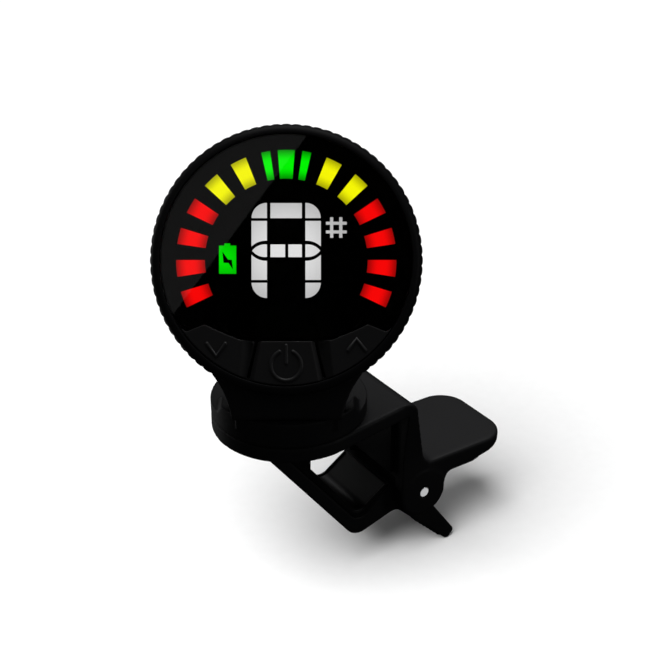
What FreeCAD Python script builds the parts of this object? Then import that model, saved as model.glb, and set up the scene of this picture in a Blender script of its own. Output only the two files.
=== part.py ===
"""Clip-on instrument tuner: a round display head on a tilting neck, a swivel disc and a sprung clip.

Frame: millimetres, +Z up, origin at the centre of the upper grip pad's face, on the swivel axis.
+X runs from the swivel axis to the thumb levers and +Y is the far side of the clip.
Each group of pieces is drawn in a frame of its own and placed by its Placement:
  clip    origin on the swivel axis at the joint line between the two discs, axes as the row's
  swivel  the same origin, turned about Z so that its -Y is the way the head faces
  head    origin at the centre of the display window's face, X across, Y up the face, Z out of it
"""

import FreeCAD, Part

import math
import os

import Sketcher

Vector = FreeCAD.Vector

DIMENSIONS = [
    ("seam_level", 3.2, "grip face to the joint line between the discs"),
    ("swivel_turn", 33.4, "how far the head is turned from -Y, degrees"),
    ("head_tilt", 27.0, "lean of the head from upright, degrees"),
    ("head_forward", 4.19, "window centre ahead of the swivel axis"),
    ("head_height", 28.0, "window centre above the joint line"),
    ("disc_radius", 12.6, "both discs"),
    ("plate_thickness", 2.6, "lower disc and arm"),
    ("arm_taper", 9.0, "half angle of the arm's taper, degrees"),
    ("disc_top", 2.5, "top of the upper disc"),
    ("disc_gap", 0.06, "running gap between the discs"),
    ("wall_top", 4.3, "top of the raised front wall"),
    ("wall_inner_radius", 10.9, "inner face of the front wall"),
    ("wall_half_width", 11.15, "front wall, at its foot"),
    ("spigot_radius", 4.0, "upper disc's spigot"),
    ("spigot_bore_radius", 4.05, "bore in the lower disc"),
    ("counterbore_radius", 6.2, "recess for the swivel washers"),
    ("counterbore_level", -1.3, "roof of that recess"),
    ("web_inner", 16.9, "inner face of the clip's web"),
    ("web_outer", 18.1, "outer face of the web at the top"),
    ("lever_root", 21.6, "outer face of the web at the lever's level"),
    ("lever_top", -14.05, "top of the thumb lever"),
    ("lever_end", 40.4, "end of the thumb lever"),
    ("lever_half_width", 8.9, "thumb lever and lugs"),
    ("lever_corner", 5.0, "corner radius of the thumb lever"),
    ("pivot_x", 21.6, "jaw pin"),
    ("pivot_z", -19.9, "jaw pin"),
    ("pin_radius", 1.0, "jaw pin"),
    ("pin_clearance", 0.03, "radial, on both hinge pins"),
    ("lug_radius", 4.35, "boss round the jaw pin"),
    ("lug_proud", 0.15, "boss face above the lug's side"),
    ("lug_gap_half_width", 6.65, "inner faces of the lugs"),
    ("jaw_half_width", 6.4, "lower jaw and both pads"),
    ("knuckle_radius", 3.6, "lower jaw round its pin"),
    ("knuckle_relief_radius", 4.0, "hollow in the upper jaw for the knuckle"),
    ("spring_slot_half_width", 3.4, "slot in the lower jaw for the spring"),
    ("spring_slot_radius", 3.0, "the same slot, round the pin"),
    ("pad_face", -3.2, "upper pad's grip face"),
    ("pad_seat", -2.4, "floor of its seat"),
    ("pad_corner", 2.5, "inside corner of the pads' faces"),
    ("tilt_pin_across", -23.2, "tilt pin, down the head's face"),
    ("tilt_pin_depth", -7.0, "tilt pin, behind the window"),
    ("tilt_pin_radius", 0.8, "tilt pin"),
    ("tilt_pin_half_length", 7.8, "tilt pin"),
    ("ear_radius", 2.0, "swivel disc's hinge ears"),
    ("ear_inner", 5.6, "inner faces of the ears"),
    ("ear_outer", 7.9, "outer faces of the ears"),
    ("neck_knuckle_radius", 2.2, "neck's hinge knuckle"),
    ("neck_knuckle_half", 5.2, "neck's hinge knuckle"),
    ("window_radius", 18.7, "display window and keys"),
    ("bezel_inner_radius", 18.8, "front ring"),
    ("bezel_outer_radius", 19.9, "front ring and shell"),
    ("bezel_front", 0.3, "front of the ring above the window"),
    ("bezel_back", -1.55, "back of the ring"),
    ("grip_radius", 20.5, "crests of the grip band"),
    ("grip_depth", 0.32, "depth of its scallops"),
    ("grip_count", 80, "scallops"),
    ("grip_back", -5.0, "back of the grip band"),
    ("shell_front", -1.6, "front of the shell"),
    ("shell_back", -9.0, "back of the shell"),
    ("cavity_radius", 18.5, "inside of the shell"),
    ("cavity_back", -7.8, "floor line of the cavity"),
    ("cover_radius", 17.4, "rear cover"),
    ("cover_seat_radius", 17.5, "opening for the rear cover"),
    ("neck_front", -4.0, "front face of the neck"),
    ("neck_back", -8.6, "back face of the neck"),
    ("neck_skirt_back", -4.8, "back of its skirt"),
    ("neck_slab_half", 8.7, "half width of the neck behind its skirt, inside the front wall"),
    ("neck_foot", -24.3, "bottom of the neck"),
    ("neck_foot_half", 8.35, "half width of its foot"),
    ("lens_thickness", 1.2, "display window"),
    ("key_split", -11.95, "line between window and power key"),
    ("key_gap", 0.15, "gap round each key"),
    ("key_thickness", 1.1, "key caps"),
    ("key_proud", 0.1, "key caps above the window"),
    ("panel_edge", -9.3, "lower edge of the display panel"),
    ("panel_front", -1.3, "front face of the display panel"),
    ("panel_back", -2.3, "back face of the display panel"),
    ("backlight_front", -2.35, "front face of the backlight"),
    ("backlight_back", -3.3, "back face of the backlight"),
    ("cover_back", -8.95, "outer face of the rear cover"),
    ("cover_front", -7.85, "inner face of the rear cover"),
    ("cover_screw_head", 1.3, "rear cover screws' heads"),
    ("cover_screw_seat", 1.35, "their seats in the cover"),
    ("cover_screw_seat_depth", 0.55, "their seats in the cover"),
    ("spigot_end", -1.62, "bottom of the upper disc's spigot"),
    ("retainer_top", -1.64, "swivel retainer"),
    ("retainer_bottom", -1.98, "swivel retainer"),
    ("retainer_radius", 5.9, "swivel retainer and wave spring"),
    ("wave_spring_bore", 4.1, "wave spring, round the spigot"),
    ("screw_head_bottom", -2.36, "swivel screw"),
    ("screw_head_top", -2.0, "swivel screw"),
    ("screw_tip", 1.3, "swivel screw"),
    ("screw_radius", 0.78, "swivel screw's thread"),
    ("battery_half_width", 9.0, "battery pouch"),
    ("battery_back", -7.6, "battery pouch"),
    ("battery_front", -4.9, "battery pouch"),
    ("board_radius", 18.2, "main board"),
    ("board_front", -3.4, "front face of the board"),
    ("board_back", -4.3, "back face of the board"),
    ("plunger_radius", 0.9, "switch plungers"),
    ("boss_circle", 15.6, "screw bosses' circle"),
    ("boss_radius", 3.0, "screw bosses"),
    ("peg_radius", 0.62, "pegs on the bosses, through the board"),
    ("ledge_radius", 17.7, "inside of the ring's ledge"),
    ("ledge_end", 0.5, "where the ledge stops beside the keys, radians below level"),
]

CLIP, SWIVEL, HEAD = "clip", "swivel", "head"
THROUGH = 60.0

doc = FreeCAD.newDocument("clip_on_tuner")
sheet = doc.addObject("Spreadsheet::Sheet", "dims")
for row, (alias, value, note) in enumerate(DIMENSIONS, start=1):
    sheet.set(f"A{row}", alias)
    sheet.set(f"B{row}", str(value))
    sheet.set(f"C{row}", note)
    sheet.setAlias(f"B{row}", alias)
doc.recompute()


def dim(alias):
    """A driving dimension, read from the sheet."""
    return float(sheet.get(alias))


def group_placement(group):
    """The Placement of a group of pieces in the row's frame."""
    seam = Vector(0, 0, dim("seam_level"))
    if group == CLIP:
        return FreeCAD.Placement(seam, FreeCAD.Rotation())
    turn = FreeCAD.Rotation(Vector(0, 0, 1), -dim("swivel_turn"))
    swivel = FreeCAD.Placement(seam, turn)
    if group == SWIVEL:
        return swivel
    lean = FreeCAD.Rotation(Vector(1, 0, 0), 90 - dim("head_tilt"))
    window = Vector(0, -dim("head_forward"), dim("head_height"))
    return swivel.multiply(FreeCAD.Placement(window, lean))


def tilt_axis():
    """The tilt pin's Y and Z in the swivel's frame."""
    lean = math.radians(dim("head_tilt"))
    up, out = dim("tilt_pin_across"), dim("tilt_pin_depth")
    y = -dim("head_forward") - out * math.cos(lean) + up * math.sin(lean)
    z = dim("head_height") + out * math.sin(lean) + up * math.cos(lean)
    return y, z


# ---- outlines ------------------------------------------------------------------------------


def arc_between(start, middle, end):
    """The arc from start to end through middle, as a sketch can hold it."""
    circle = Part.Circle(start, middle, end)
    centre = circle.Center
    angles = [math.atan2(p.y - centre.y, p.x - centre.x) for p in (start, middle, end)]
    sweep_middle = (angles[1] - angles[0]) % (2 * math.pi)
    sweep_end = (angles[2] - angles[0]) % (2 * math.pi)
    flat = Part.Circle(centre, Vector(0, 0, 1), circle.Radius)
    if sweep_middle < sweep_end:
        return Part.ArcOfCircle(flat, angles[0], angles[0] + sweep_end)
    return Part.ArcOfCircle(flat, angles[2], angles[2] + 2 * math.pi - sweep_end)


def rounded_corner(before, corner, after, radius):
    """Where a corner's arc starts, passes and ends."""
    back = (before - corner).normalize()
    ahead = (after - corner).normalize()
    half = back.getAngle(ahead) / 2
    reach = radius / math.tan(half)
    middle = (back + ahead).normalize()
    inset = radius / math.sin(half) - radius
    return corner + back * reach, corner + middle * inset, corner + ahead * reach


def outline(*corners):
    """Lines and arcs of a closed outline.

    A corner is (x, y) or (x, y, radius); ("via", x, y) makes the side it stands in an arc.
    """
    places = [c for c in corners if c[0] != "via"]
    vias = {}
    for index, corner in enumerate(corners):
        if corner[0] == "via":
            vias[len([c for c in corners[:index] if c[0] != "via"]) - 1] = Vector(*corner[1:], 0)
    points = [Vector(p[0], p[1], 0) for p in places]
    count = len(points)
    edges = []
    starts = []
    ends = []
    for index, place in enumerate(places):
        here = points[index]
        if len(place) < 3:
            starts.append(here)
            ends.append(here)
            continue
        arc = rounded_corner(points[index - 1], here, points[(index + 1) % count], place[2])
        edges.append(arc_between(*arc))
        starts.append(arc[0])
        ends.append(arc[2])
    for index in range(count):
        start, end = ends[index], starts[(index + 1) % count]
        if index in vias:
            edges.append(arc_between(start, vias[index], end))
        elif (end - start).Length > 1e-6:
            edges.append(Part.LineSegment(start, end))
    return edges


def box_outline(x_low, x_high, y_low, y_high, radius=0):
    """A rectangle, with round corners where a radius is given."""
    corners = [(x_low, y_low), (x_high, y_low), (x_high, y_high), (x_low, y_high)]
    if radius:
        corners = [(*c, radius) for c in corners]
    return outline(*corners)


# ---- bodies, sketches and features ---------------------------------------------------------


def new_body(label, group):
    body = doc.addObject("PartDesign::Body", label)
    body.Label = label
    body.AllowCompound = True
    body.Placement = group_placement(group)
    return body


def sketch_on(body, plane, edges=(), offset=0.0, circles=()):
    """A sketch on one of the body's own planes, raised by offset along the plane's normal.

    A circle is (x, y, alias of its radius), and its radius is bound to the sheet.
    """
    sketch = body.newObject("Sketcher::SketchObject", "Sketch")
    role = f"{plane}_Plane"
    support = [f for f in body.Origin.OriginFeatures if f.Role == role][0]
    sketch.AttachmentSupport = [(support, "")]
    sketch.MapMode = "FlatFace"
    sketch.AttachmentOffset = FreeCAD.Placement(Vector(0, 0, offset), FreeCAD.Rotation())
    for edge in edges:
        sketch.addGeometry(edge)
    for x, y, alias in circles:
        circle = Part.Circle(Vector(x, y, 0), Vector(0, 0, 1), dim(alias))
        index = sketch.addGeometry(circle)
        constraint = sketch.addConstraint(Sketcher.Constraint("Radius", index, dim(alias)))
        sketch.setExpression(f"Constraints[{constraint}]", f"dims.{alias}")
    return sketch


def pad(body, sketch, length, midplane=False, backward=False):
    """Adds the sketch's outline; length is a number or an expression on the sheet."""
    feature = body.newObject("PartDesign::Pad", "Pad")
    feature.Profile = sketch
    feature.Midplane = midplane
    feature.Reversed = backward
    set_length(feature, length)
    doc.recompute()
    return feature


def pocket(body, sketch, length, midplane=False, backward=False):
    """Cuts the sketch's outline and makes sure that something was cut."""
    before = body.Shape.Volume
    feature = body.newObject("PartDesign::Pocket", "Pocket")
    feature.Profile = sketch
    feature.Midplane = midplane
    feature.Reversed = backward
    set_length(feature, length)
    doc.recompute()
    if body.Shape.Volume > before - 1e-4:
        raise RuntimeError(f"{body.Label}: a pocket cut nothing")
    return feature


def set_length(feature, length):
    if isinstance(length, str):
        feature.setExpression("Length", length)
    else:
        feature.Length = length


def edges_where(shape, test):
    """Names of the edges whose middle point and length pass the test."""
    names = []
    for number, edge in enumerate(shape.Edges, start=1):
        middle = edge.valueAt((edge.FirstParameter + edge.LastParameter) / 2)
        if test(middle, edge):
            names.append(f"Edge{number}")
    return names


def soften(body, radius, test, kind="PartDesign::Fillet"):
    """Rounds or bevels the chosen edges of the body."""
    base = body.Tip
    feature = body.newObject(kind, kind.split("::")[1])
    feature.Base = (base, edges_where(base.Shape, test))
    if kind.endswith("Fillet"):
        feature.Radius = radius
    else:
        feature.Size = radius
    doc.recompute()
    return feature


def round_plate(label, group, radius, low, high):
    """A plain disc from one level to another; radius is an alias."""
    body = new_body(label, group)
    pad(body, sketch_on(body, "XY", offset=low, circles=[(0, 0, radius)]), high - low)
    return body


def plain_feature(label, group, shape):
    """A piece whose shape is made directly, then placed."""
    feature = doc.addObject("Part::Feature", label)
    feature.Label = label
    feature.Shape = shape
    feature.Placement = group_placement(group)
    return feature


# ---- clip ----------------------------------------------------------------------------------


def upper_jaw():
    """Lower disc, arm, web, thumb lever and lugs, in one moulding."""
    body = new_body("upper_jaw", CLIP)
    radius = dim("disc_radius")
    taper = math.radians(dim("arm_taper"))
    tangent_x = radius * math.sin(taper)
    tangent_y = radius * math.cos(taper)
    arm_end = 15.9
    arm_half = tangent_y - (arm_end - tangent_x) * math.tan(taper)
    arm = outline(
        (tangent_x, tangent_y),
        ("via", -radius, 0),
        (tangent_x, -tangent_y),
        (arm_end, -arm_half),
        (arm_end, arm_half),
    )
    pad(body, sketch_on(body, "XY", arm), "dims.plate_thickness", backward=True)
    soften(body, 0.5, lambda p, e: abs(p.z) < 0.01 and p.x > tangent_x and abs(p.y) > arm_half)

    inner, top, floor = dim("web_inner"), dim("lever_top"), -dim("plate_thickness")
    underside = top - 3.5
    side_bottom = dim("pivot_z") - 0.5
    profile = outline(
        (14.0, 0.0),
        (dim("web_outer"), 0.0, 2.2),
        (dim("lever_root"), top, 2.5),
        (dim("lever_end"), top),
        (dim("lever_end"), top - 1.9),
        (31.75, underside, 6.0),
        (26.7, underside, 1.2),
        (25.6, side_bottom),
        (inner, side_bottom),
        (inner, floor),
        (14.0, floor),
    )
    wide = 2 * arm_half
    pad(body, sketch_on(body, "XZ", profile), wide, midplane=True)
    half = dim("lever_half_width")
    for side in (1, -1):
        trim = outline(
            (side * arm_half, 1.0),
            (side * arm_half, -1.5),
            (side * half, top + 2.0, 3.0),
            (side * half, -26.0),
            (side * 14.0, -26.0),
            (side * 14.0, 1.0),
        )
        pocket(body, sketch_on(body, "YZ", trim, offset=arm_end), THROUGH, backward=True)
    corner = dim("lever_corner")
    end = dim("lever_end")
    soften(body, corner, lambda p, e: p.x > end - 0.2 and abs(abs(p.y) - half) < 0.01)

    pivot_x, pivot_z = dim("pivot_x"), dim("pivot_z")
    root = sketch_on(body, "XZ", circles=[(pivot_x - 0.35, pivot_z - 0.05, "lug_radius")])
    pad(body, root, "2 * dims.lever_half_width", midplane=True)
    boss = sketch_on(body, "XZ", circles=[(pivot_x, pivot_z, "lug_radius")])
    pad(body, boss, "2 * (dims.lever_half_width + dims.lug_proud)", midplane=True)

    relief = sketch_on(body, "XZ", circles=[(pivot_x, pivot_z, "knuckle_relief_radius")])
    pocket(body, relief, "2 * dims.lug_gap_half_width", midplane=True)
    between = outline(
        (15.0, -16.4),
        (18.6, -16.4),
        (pivot_x, pivot_z),
        (28.0, -18.4),
        (28.0, -26.0),
        (15.0, -26.0),
    )
    pocket(body, sketch_on(body, "XZ", between), "2 * dims.lug_gap_half_width", midplane=True)
    bore = sketch_on(body, "XZ", outline_circle(pivot_x, pivot_z, dim("pin_radius") + dim("pin_clearance")))
    pocket(body, bore, THROUGH, midplane=True)

    swivel_bore = sketch_on(body, "XY", circles=[(0, 0, "spigot_bore_radius")])
    pocket(body, swivel_bore, "2 * dims.plate_thickness", midplane=True)
    recess = sketch_on(body, "XY", offset=floor, circles=[(0, 0, "counterbore_radius")])
    pocket(body, recess, dim("counterbore_level") - floor, backward=True)
    seat_half = dim("jaw_half_width") + 0.05
    seat = box_outline(-9.05, inner, -seat_half, seat_half)
    pocket(body, sketch_on(body, "XY", seat, offset=floor), dim("pad_seat") - floor, backward=True)
    return body


def outline_circle(x, y, radius):
    """A circle whose radius is worked out from more than one dimension."""
    return [Part.Circle(Vector(x, y, 0), Vector(0, 0, 1), radius)]


def upper_pad():
    """Rubber lining under the disc and arm and down the web."""
    body = new_body("upper_pad", CLIP)
    face, seat = dim("pad_face"), dim("pad_seat") - 0.02
    back = dim("web_inner") - 0.02
    front = back - 0.8
    foot = -15.4
    profile = outline(
        (-9.0, seat),
        (back, seat),
        (back, foot),
        (front, foot, 0.25),
        (front, face, dim("pad_corner")),
        (-9.0, face, 0.25),
    )
    pad(body, sketch_on(body, "XZ", profile), "2 * dims.jaw_half_width", midplane=True)
    return body


def jaw_lines():
    """Corners shared by the lower jaw and its pad: the seam between them."""
    tip = (-5.75, dim("pad_face") - 0.15)
    valley = (9.75, -23.1)
    hinge_end = (16.1, -17.75)
    return tip, valley, hinge_end


def lower_jaw():
    """V-shaped jaw and its thumb lever."""
    body = new_body("lower_jaw", CLIP)
    tip, valley, hinge_end = jaw_lines()
    pivot_x, pivot_z = dim("pivot_x"), dim("pivot_z")
    knuckle = dim("knuckle_radius")
    crest = math.radians(150)
    profile = outline(
        (-8.3, tip[1]),
        (8.9, -25.75, 3.2),
        (17.6, -23.2, 2.2),
        (29.35, -34.7, 0.8),
        (31.0, -33.1, 0.8),
        (24.6, -24.1, 1.5),
        (pivot_x + knuckle, pivot_z),
        ("via", pivot_x, pivot_z + knuckle),
        (pivot_x + knuckle * math.cos(crest), pivot_z + knuckle * math.sin(crest)),
        hinge_end,
        (*valley, 2.4),
        tip,
    )
    pad(body, sketch_on(body, "XZ", profile), "2 * dims.jaw_half_width", midplane=True)
    slot = sketch_on(body, "XZ", circles=[(pivot_x, pivot_z, "spring_slot_radius")])
    pocket(body, slot, "2 * dims.spring_slot_half_width", midplane=True)
    window = outline(
        (pivot_x, pivot_z),
        (pivot_x - 2.0, -15.0),
        (28.0, -15.0),
        (28.0, -25.0),
        (24.9, -24.1),
    )
    pocket(body, sketch_on(body, "XZ", window), "2 * dims.spring_slot_half_width", midplane=True)
    bore = sketch_on(body, "XZ", outline_circle(pivot_x, pivot_z, dim("pin_radius") + dim("pin_clearance")))
    pocket(body, bore, THROUGH, midplane=True)
    pad(body, sketch_on(body, "XZ", lever_ribs()), 2 * (dim("jaw_half_width") - 0.5), midplane=True)
    return body


def lever_ribs():
    """Half-round finger ribs along the underside of the lower lever."""
    start, end = Vector(17.6, -23.2, 0), Vector(29.35, -34.7, 0)
    along = (end - start).normalize()
    outward = Vector(-along.y, along.x, 0) * -1
    edges = []
    for index in range(7):
        middle = start + along * (7.4 + 1.15 * index)
        low, high = middle - along * 0.36, middle + along * 0.36
        sunk = outward * -0.2
        edges.append(arc_between(low, middle + outward * 0.3, high))
        edges.append(Part.LineSegment(high, high + sunk))
        edges.append(Part.LineSegment(high + sunk, low + sunk))
        edges.append(Part.LineSegment(low + sunk, low))
    return edges


def lower_pad():
    """Rubber lining of the V, with a block at the tip."""
    body = new_body("lower_pad", CLIP)
    tip, valley, hinge_end = jaw_lines()
    profile = outline(
        (tip[0] + 0.02, tip[1]),
        (valley[0] + 0.02, valley[1] + 0.03, 2.38),
        (hinge_end[0], hinge_end[1] + 0.03),
        (hinge_end[0] - 0.55, hinge_end[1] + 0.3, 0.2),
        (9.6, -21.6, dim("pad_corner")),
        (0.13, -8.9, 0.5),
        (0.13, tip[1], 0.3),
    )
    pad(body, sketch_on(body, "XZ", profile), "2 * dims.jaw_half_width", midplane=True)
    return body


def jaw_pin():
    body = new_body("jaw_pin", CLIP)
    half = dim("lever_half_width") + dim("lug_proud") - 0.1
    sketch = sketch_on(body, "XZ", circles=[(dim("pivot_x"), dim("pivot_z"), "pin_radius")])
    pad(body, sketch, 2 * half, midplane=True)
    soften(body, 0.15, lambda p, e: abs(abs(p.y) - half) < 0.01, "PartDesign::Chamfer")
    return body


def torsion_spring():
    """Coil on the jaw pin; one leg bears on each lever."""
    wire_radius, coil_radius, turns, pitch = 0.38, 1.75, 5, 0.95
    upper_leg, lower_leg = 3.0, 3.1
    centre = Vector(dim("pivot_x"), 0, dim("pivot_z"))
    length = turns * pitch
    helix = Part.makeHelix(pitch, length, coil_radius)
    section = Part.Wire(Part.makeCircle(wire_radius, Vector(coil_radius, 0, 0), Vector(0, 1, 0)))
    coil = Part.Wire(helix.Edges).makePipeShell([section], True, False)
    coil.rotate(Vector(0, 0, 0), Vector(1, 0, 0), -90)
    coil.translate(centre + Vector(0, -length / 2, 0))
    legs = []
    for y, reach, direction in (
        (-length / 2, upper_leg, Vector(1, 0, -0.02)),
        (length / 2, lower_leg, Vector(0.35, 0, -1)),
    ):
        along = direction.normalize()
        away = Vector(-along.z, 0, along.x)
        start = centre + Vector(0, y, 0) + away * coil_radius
        legs.append(Part.makeSphere(wire_radius * 1.02, start))
        legs.append(Part.makeCylinder(wire_radius, reach, start, along))
    return plain_feature("torsion_spring", CLIP, coil.fuse(legs).removeSplitter())


# ---- swivel --------------------------------------------------------------------------------


def swivel_disc():
    """Upper disc with its front wall, hinge ears and spigot."""
    body = new_body("swivel_disc", SWIVEL)
    low, top, wall_top = dim("disc_gap"), dim("disc_top"), dim("wall_top")
    disc = sketch_on(body, "XY", offset=low, circles=[(0, 0, "disc_radius")])
    pad(body, disc, wall_top - low)
    soften(body, 0.15, lambda p, e: True, "PartDesign::Chamfer")
    half, lean = dim("wall_half_width"), 0.85
    for side in (-1, 1):
        end = outline(
            (side * 40.0, top),
            (side * half, top),
            (side * (half - lean), wall_top + 0.1),
            (side * (half - lean), 6.0),
            (side * 40.0, 6.0),
        )
        pocket(body, sketch_on(body, "XZ", end), THROUGH, midplane=True)
    behind = box_outline(-14.0, 14.0, -2.0, 14.0)
    pocket(body, sketch_on(body, "XY", behind, offset=top), 3.0, backward=True)
    inside = sketch_on(body, "XY", offset=top, circles=[(0, 0, "wall_inner_radius")])
    pocket(body, inside, 3.0, backward=True)

    y, z = tilt_axis()
    ear = dim("ear_radius")
    foot = top - 0.4
    base = outline((y - ear, foot), (y + ear, foot), (y + ear, z), ("via", y, z + ear), (y - ear, z))
    pad(body, sketch_on(body, "YZ", base), "2 * dims.ear_outer", midplane=True)
    groove = outline_circle(y, z, dim("neck_knuckle_radius") + 0.3)
    pocket(body, sketch_on(body, "YZ", groove), "2 * dims.ear_inner", midplane=True)
    bore = outline_circle(y, z, dim("tilt_pin_radius") + dim("pin_clearance"))
    pocket(body, sketch_on(body, "YZ", bore), "2 * dims.ear_outer + 0.2", midplane=True)

    spigot = sketch_on(body, "XY", offset=low, circles=[(0, 0, "spigot_radius")])
    pad(body, spigot, low - dim("spigot_end"), backward=True)
    hole_low = dim("spigot_end") - 0.1
    thread = sketch_on(body, "XY", outline_circle(0, 0, dim("screw_radius") + 0.02), offset=hole_low)
    pocket(body, thread, dim("screw_tip") + 0.1 - hole_low, backward=True)
    return body


def washer(label, outer, inner, low, high):
    """A flat ring of the swivel's, between two levels."""
    body = new_body(label, SWIVEL)
    rings = outline_circle(0, 0, outer) + outline_circle(0, 0, inner)
    pad(body, sketch_on(body, "XY", rings, offset=low), high - low)
    return body


def swivel_screw():
    """Pan-head screw up into the spigot."""
    body = new_body("swivel_screw", SWIVEL)
    head_low, head_high = dim("screw_head_bottom"), dim("screw_head_top")
    head_radius, cross_long, cross_wide, cross_depth = 1.9, 1.1, 0.2, 0.25
    head = sketch_on(body, "XY", outline_circle(0, 0, head_radius), offset=head_low)
    pad(body, head, head_high - head_low)
    thread = sketch_on(body, "XY", circles=[(0, 0, "screw_radius")], offset=head_high)
    pad(body, thread, dim("screw_tip") - head_high)
    for across, along in ((cross_long, cross_wide), (cross_wide, cross_long)):
        slot = sketch_on(body, "XY", box_outline(-across, across, -along, along), offset=head_low)
        pocket(body, slot, cross_depth, backward=True)
    return body


def tilt_pin():
    body = new_body("tilt_pin", SWIVEL)
    y, z = tilt_axis()
    pin = sketch_on(body, "YZ", circles=[(y, z, "tilt_pin_radius")])
    pad(body, pin, "2 * dims.tilt_pin_half_length", midplane=True)
    half = dim("tilt_pin_half_length")
    soften(body, 0.12, lambda p, e: abs(abs(p.x) - half) < 0.01, "PartDesign::Chamfer")
    return body


def tilt_washers():
    """Friction washers between the neck's knuckle and the ears."""
    y, z = tilt_axis()
    inner = dim("tilt_pin_radius") + dim("pin_clearance")
    thickness = dim("ear_inner") - dim("neck_knuckle_half") - 0.08
    rings = []
    for side in (1, -1):
        start = Vector(side * (dim("neck_knuckle_half") + 0.04), y, z)
        along = Vector(side, 0, 0)
        ring = Part.makeCylinder(1.8, thickness, start, along)
        rings.append(ring.cut(Part.makeCylinder(inner, thickness, start, along)))
    return plain_feature("tilt_washers", SWIVEL, Part.makeCompound(rings))


# ---- head ----------------------------------------------------------------------------------


def grip_outline():
    """The scalloped rim: a loop of shallow round lobes."""
    count = int(dim("grip_count"))
    crest, root = dim("grip_radius"), dim("grip_radius") - dim("grip_depth")
    step = 2 * math.pi / count
    edges = []
    for index in range(count):
        low, middle, high = (index - 0.5) * step, index * step, (index + 0.5) * step
        ends = [Vector(root * math.cos(a), root * math.sin(a), 0) for a in (low, high)]
        top = Vector(crest * math.cos(middle), crest * math.sin(middle), 0)
        edges.append(arc_between(ends[0], top, ends[1]))
    return edges


def skirt_plan():
    """The neck's front skirt: a foot that flares up to the shell."""
    foot, waist, wide = dim("neck_foot_half"), 9.2, 11.4
    foot_y, waist_y, wide_y, top = dim("neck_foot") - 0.2, -21.1, -17.2, -16.0
    return outline(
        (-foot, foot_y),
        (foot, foot_y),
        ("via", waist, waist_y),
        (wide, wide_y),
        (wide, top),
        (-wide, top),
        (-wide, wide_y),
        ("via", -waist, waist_y),
    )


def boss_places():
    """Centres of the four screw bosses, clear of the battery and the socket."""
    circle = dim("boss_circle")
    turns = [math.radians(angle) for angle in (30, 150, 210, 330)]
    return [(circle * math.cos(a), circle * math.sin(a)) for a in turns]


def rear_housing():
    """Shell of the head with its grip band, the neck and the neck's hinge knuckle."""
    body = new_body("rear_housing", HEAD)
    back, front = dim("shell_back"), dim("shell_front")
    shell = sketch_on(body, "XY", offset=back, circles=[(0, 0, "bezel_outer_radius")])
    pad(body, shell, front - back)
    soften(body, 1.4, lambda p, e: abs(p.z - back) < 0.01)
    band = sketch_on(body, "XY", grip_outline(), offset=dim("grip_back"))
    pad(body, band, front - dim("grip_back"))

    neck_front, neck_back, skirt_back = dim("neck_front"), dim("neck_back"), dim("neck_skirt_back")
    pad(body, sketch_on(body, "XY", skirt_plan(), offset=skirt_back), neck_front - skirt_back)
    half = dim("neck_slab_half")
    slab = sketch_on(body, "XY", box_outline(-half, half, -20.7, -16.0), offset=neck_back)
    pad(body, slab, neck_front - neck_back)
    y, z = dim("tilt_pin_across"), dim("tilt_pin_depth")
    root = box_outline(y, -19.0, neck_back, skirt_back + 0.1)
    pad(body, sketch_on(body, "YZ", root), "2 * dims.neck_knuckle_half", midplane=True)
    knuckle = sketch_on(body, "YZ", circles=[(y, z, "neck_knuckle_radius")])
    pad(body, knuckle, "2 * dims.neck_knuckle_half", midplane=True)
    bore = outline_circle(y, z, dim("tilt_pin_radius") + dim("pin_clearance"))
    pocket(body, sketch_on(body, "YZ", bore), THROUGH, midplane=True)
    foot = dim("neck_foot")
    sole = outline(
        (foot + 0.55, neck_front + 0.05),
        (foot + 0.5, neck_front),
        (foot, neck_front - 0.4),
        (foot + 0.31, skirt_back - 0.1),
        (foot - 1.0, skirt_back - 0.1),
        (foot - 1.0, neck_front + 0.05),
    )
    pocket(body, sketch_on(body, "YZ", sole), THROUGH, midplane=True)

    cavity_back = dim("cavity_back")
    opening = sketch_on(body, "XY", offset=back, circles=[(0, 0, "cover_seat_radius")])
    pocket(body, opening, cavity_back - back, backward=True)
    cavity = sketch_on(body, "XY", offset=cavity_back, circles=[(0, 0, "cavity_radius")])
    pocket(body, cavity, front - cavity_back + 0.5, backward=True)
    for x, u in boss_places():
        boss = sketch_on(body, "XY", offset=cavity_back, circles=[(x, u, "boss_radius")])
        pad(body, boss, dim("board_back") - 0.05 - cavity_back)
        peg = sketch_on(body, "XY", offset=dim("board_back") - 0.15, circles=[(x, u, "peg_radius")])
        pad(body, peg, dim("board_front") - dim("board_back") + 0.15)
    pocket(body, holes_at_bosses(body, 0.6, cavity_back), 2.9, backward=True)
    port = box_outline(-4.75, 4.75, -7.77, -4.13, 1.7)
    pocket(body, sketch_on(body, "YZ", port, offset=16.5), 6.0, backward=True)
    return body


def holes_at_bosses(body, radius, offset):
    """A sketch of one round hole at each boss."""
    holes = [Part.Circle(Vector(x, u, 0), Vector(0, 0, 1), radius) for x, u in boss_places()]
    return sketch_on(body, "XY", holes, offset=offset)


def rear_cover():
    back, front = dim("cover_back"), dim("cover_front")
    body = round_plate("rear_cover", HEAD, "cover_radius", back, front)
    soften(body, 0.3, lambda p, e: p.z < back + 0.05, "PartDesign::Chamfer")
    pocket(body, holes_at_bosses(body, 0.8, back), front - back, backward=True)
    seats = holes_at_bosses(body, dim("cover_screw_seat"), back)
    pocket(body, seats, dim("cover_screw_seat_depth"), backward=True)
    return body


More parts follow.
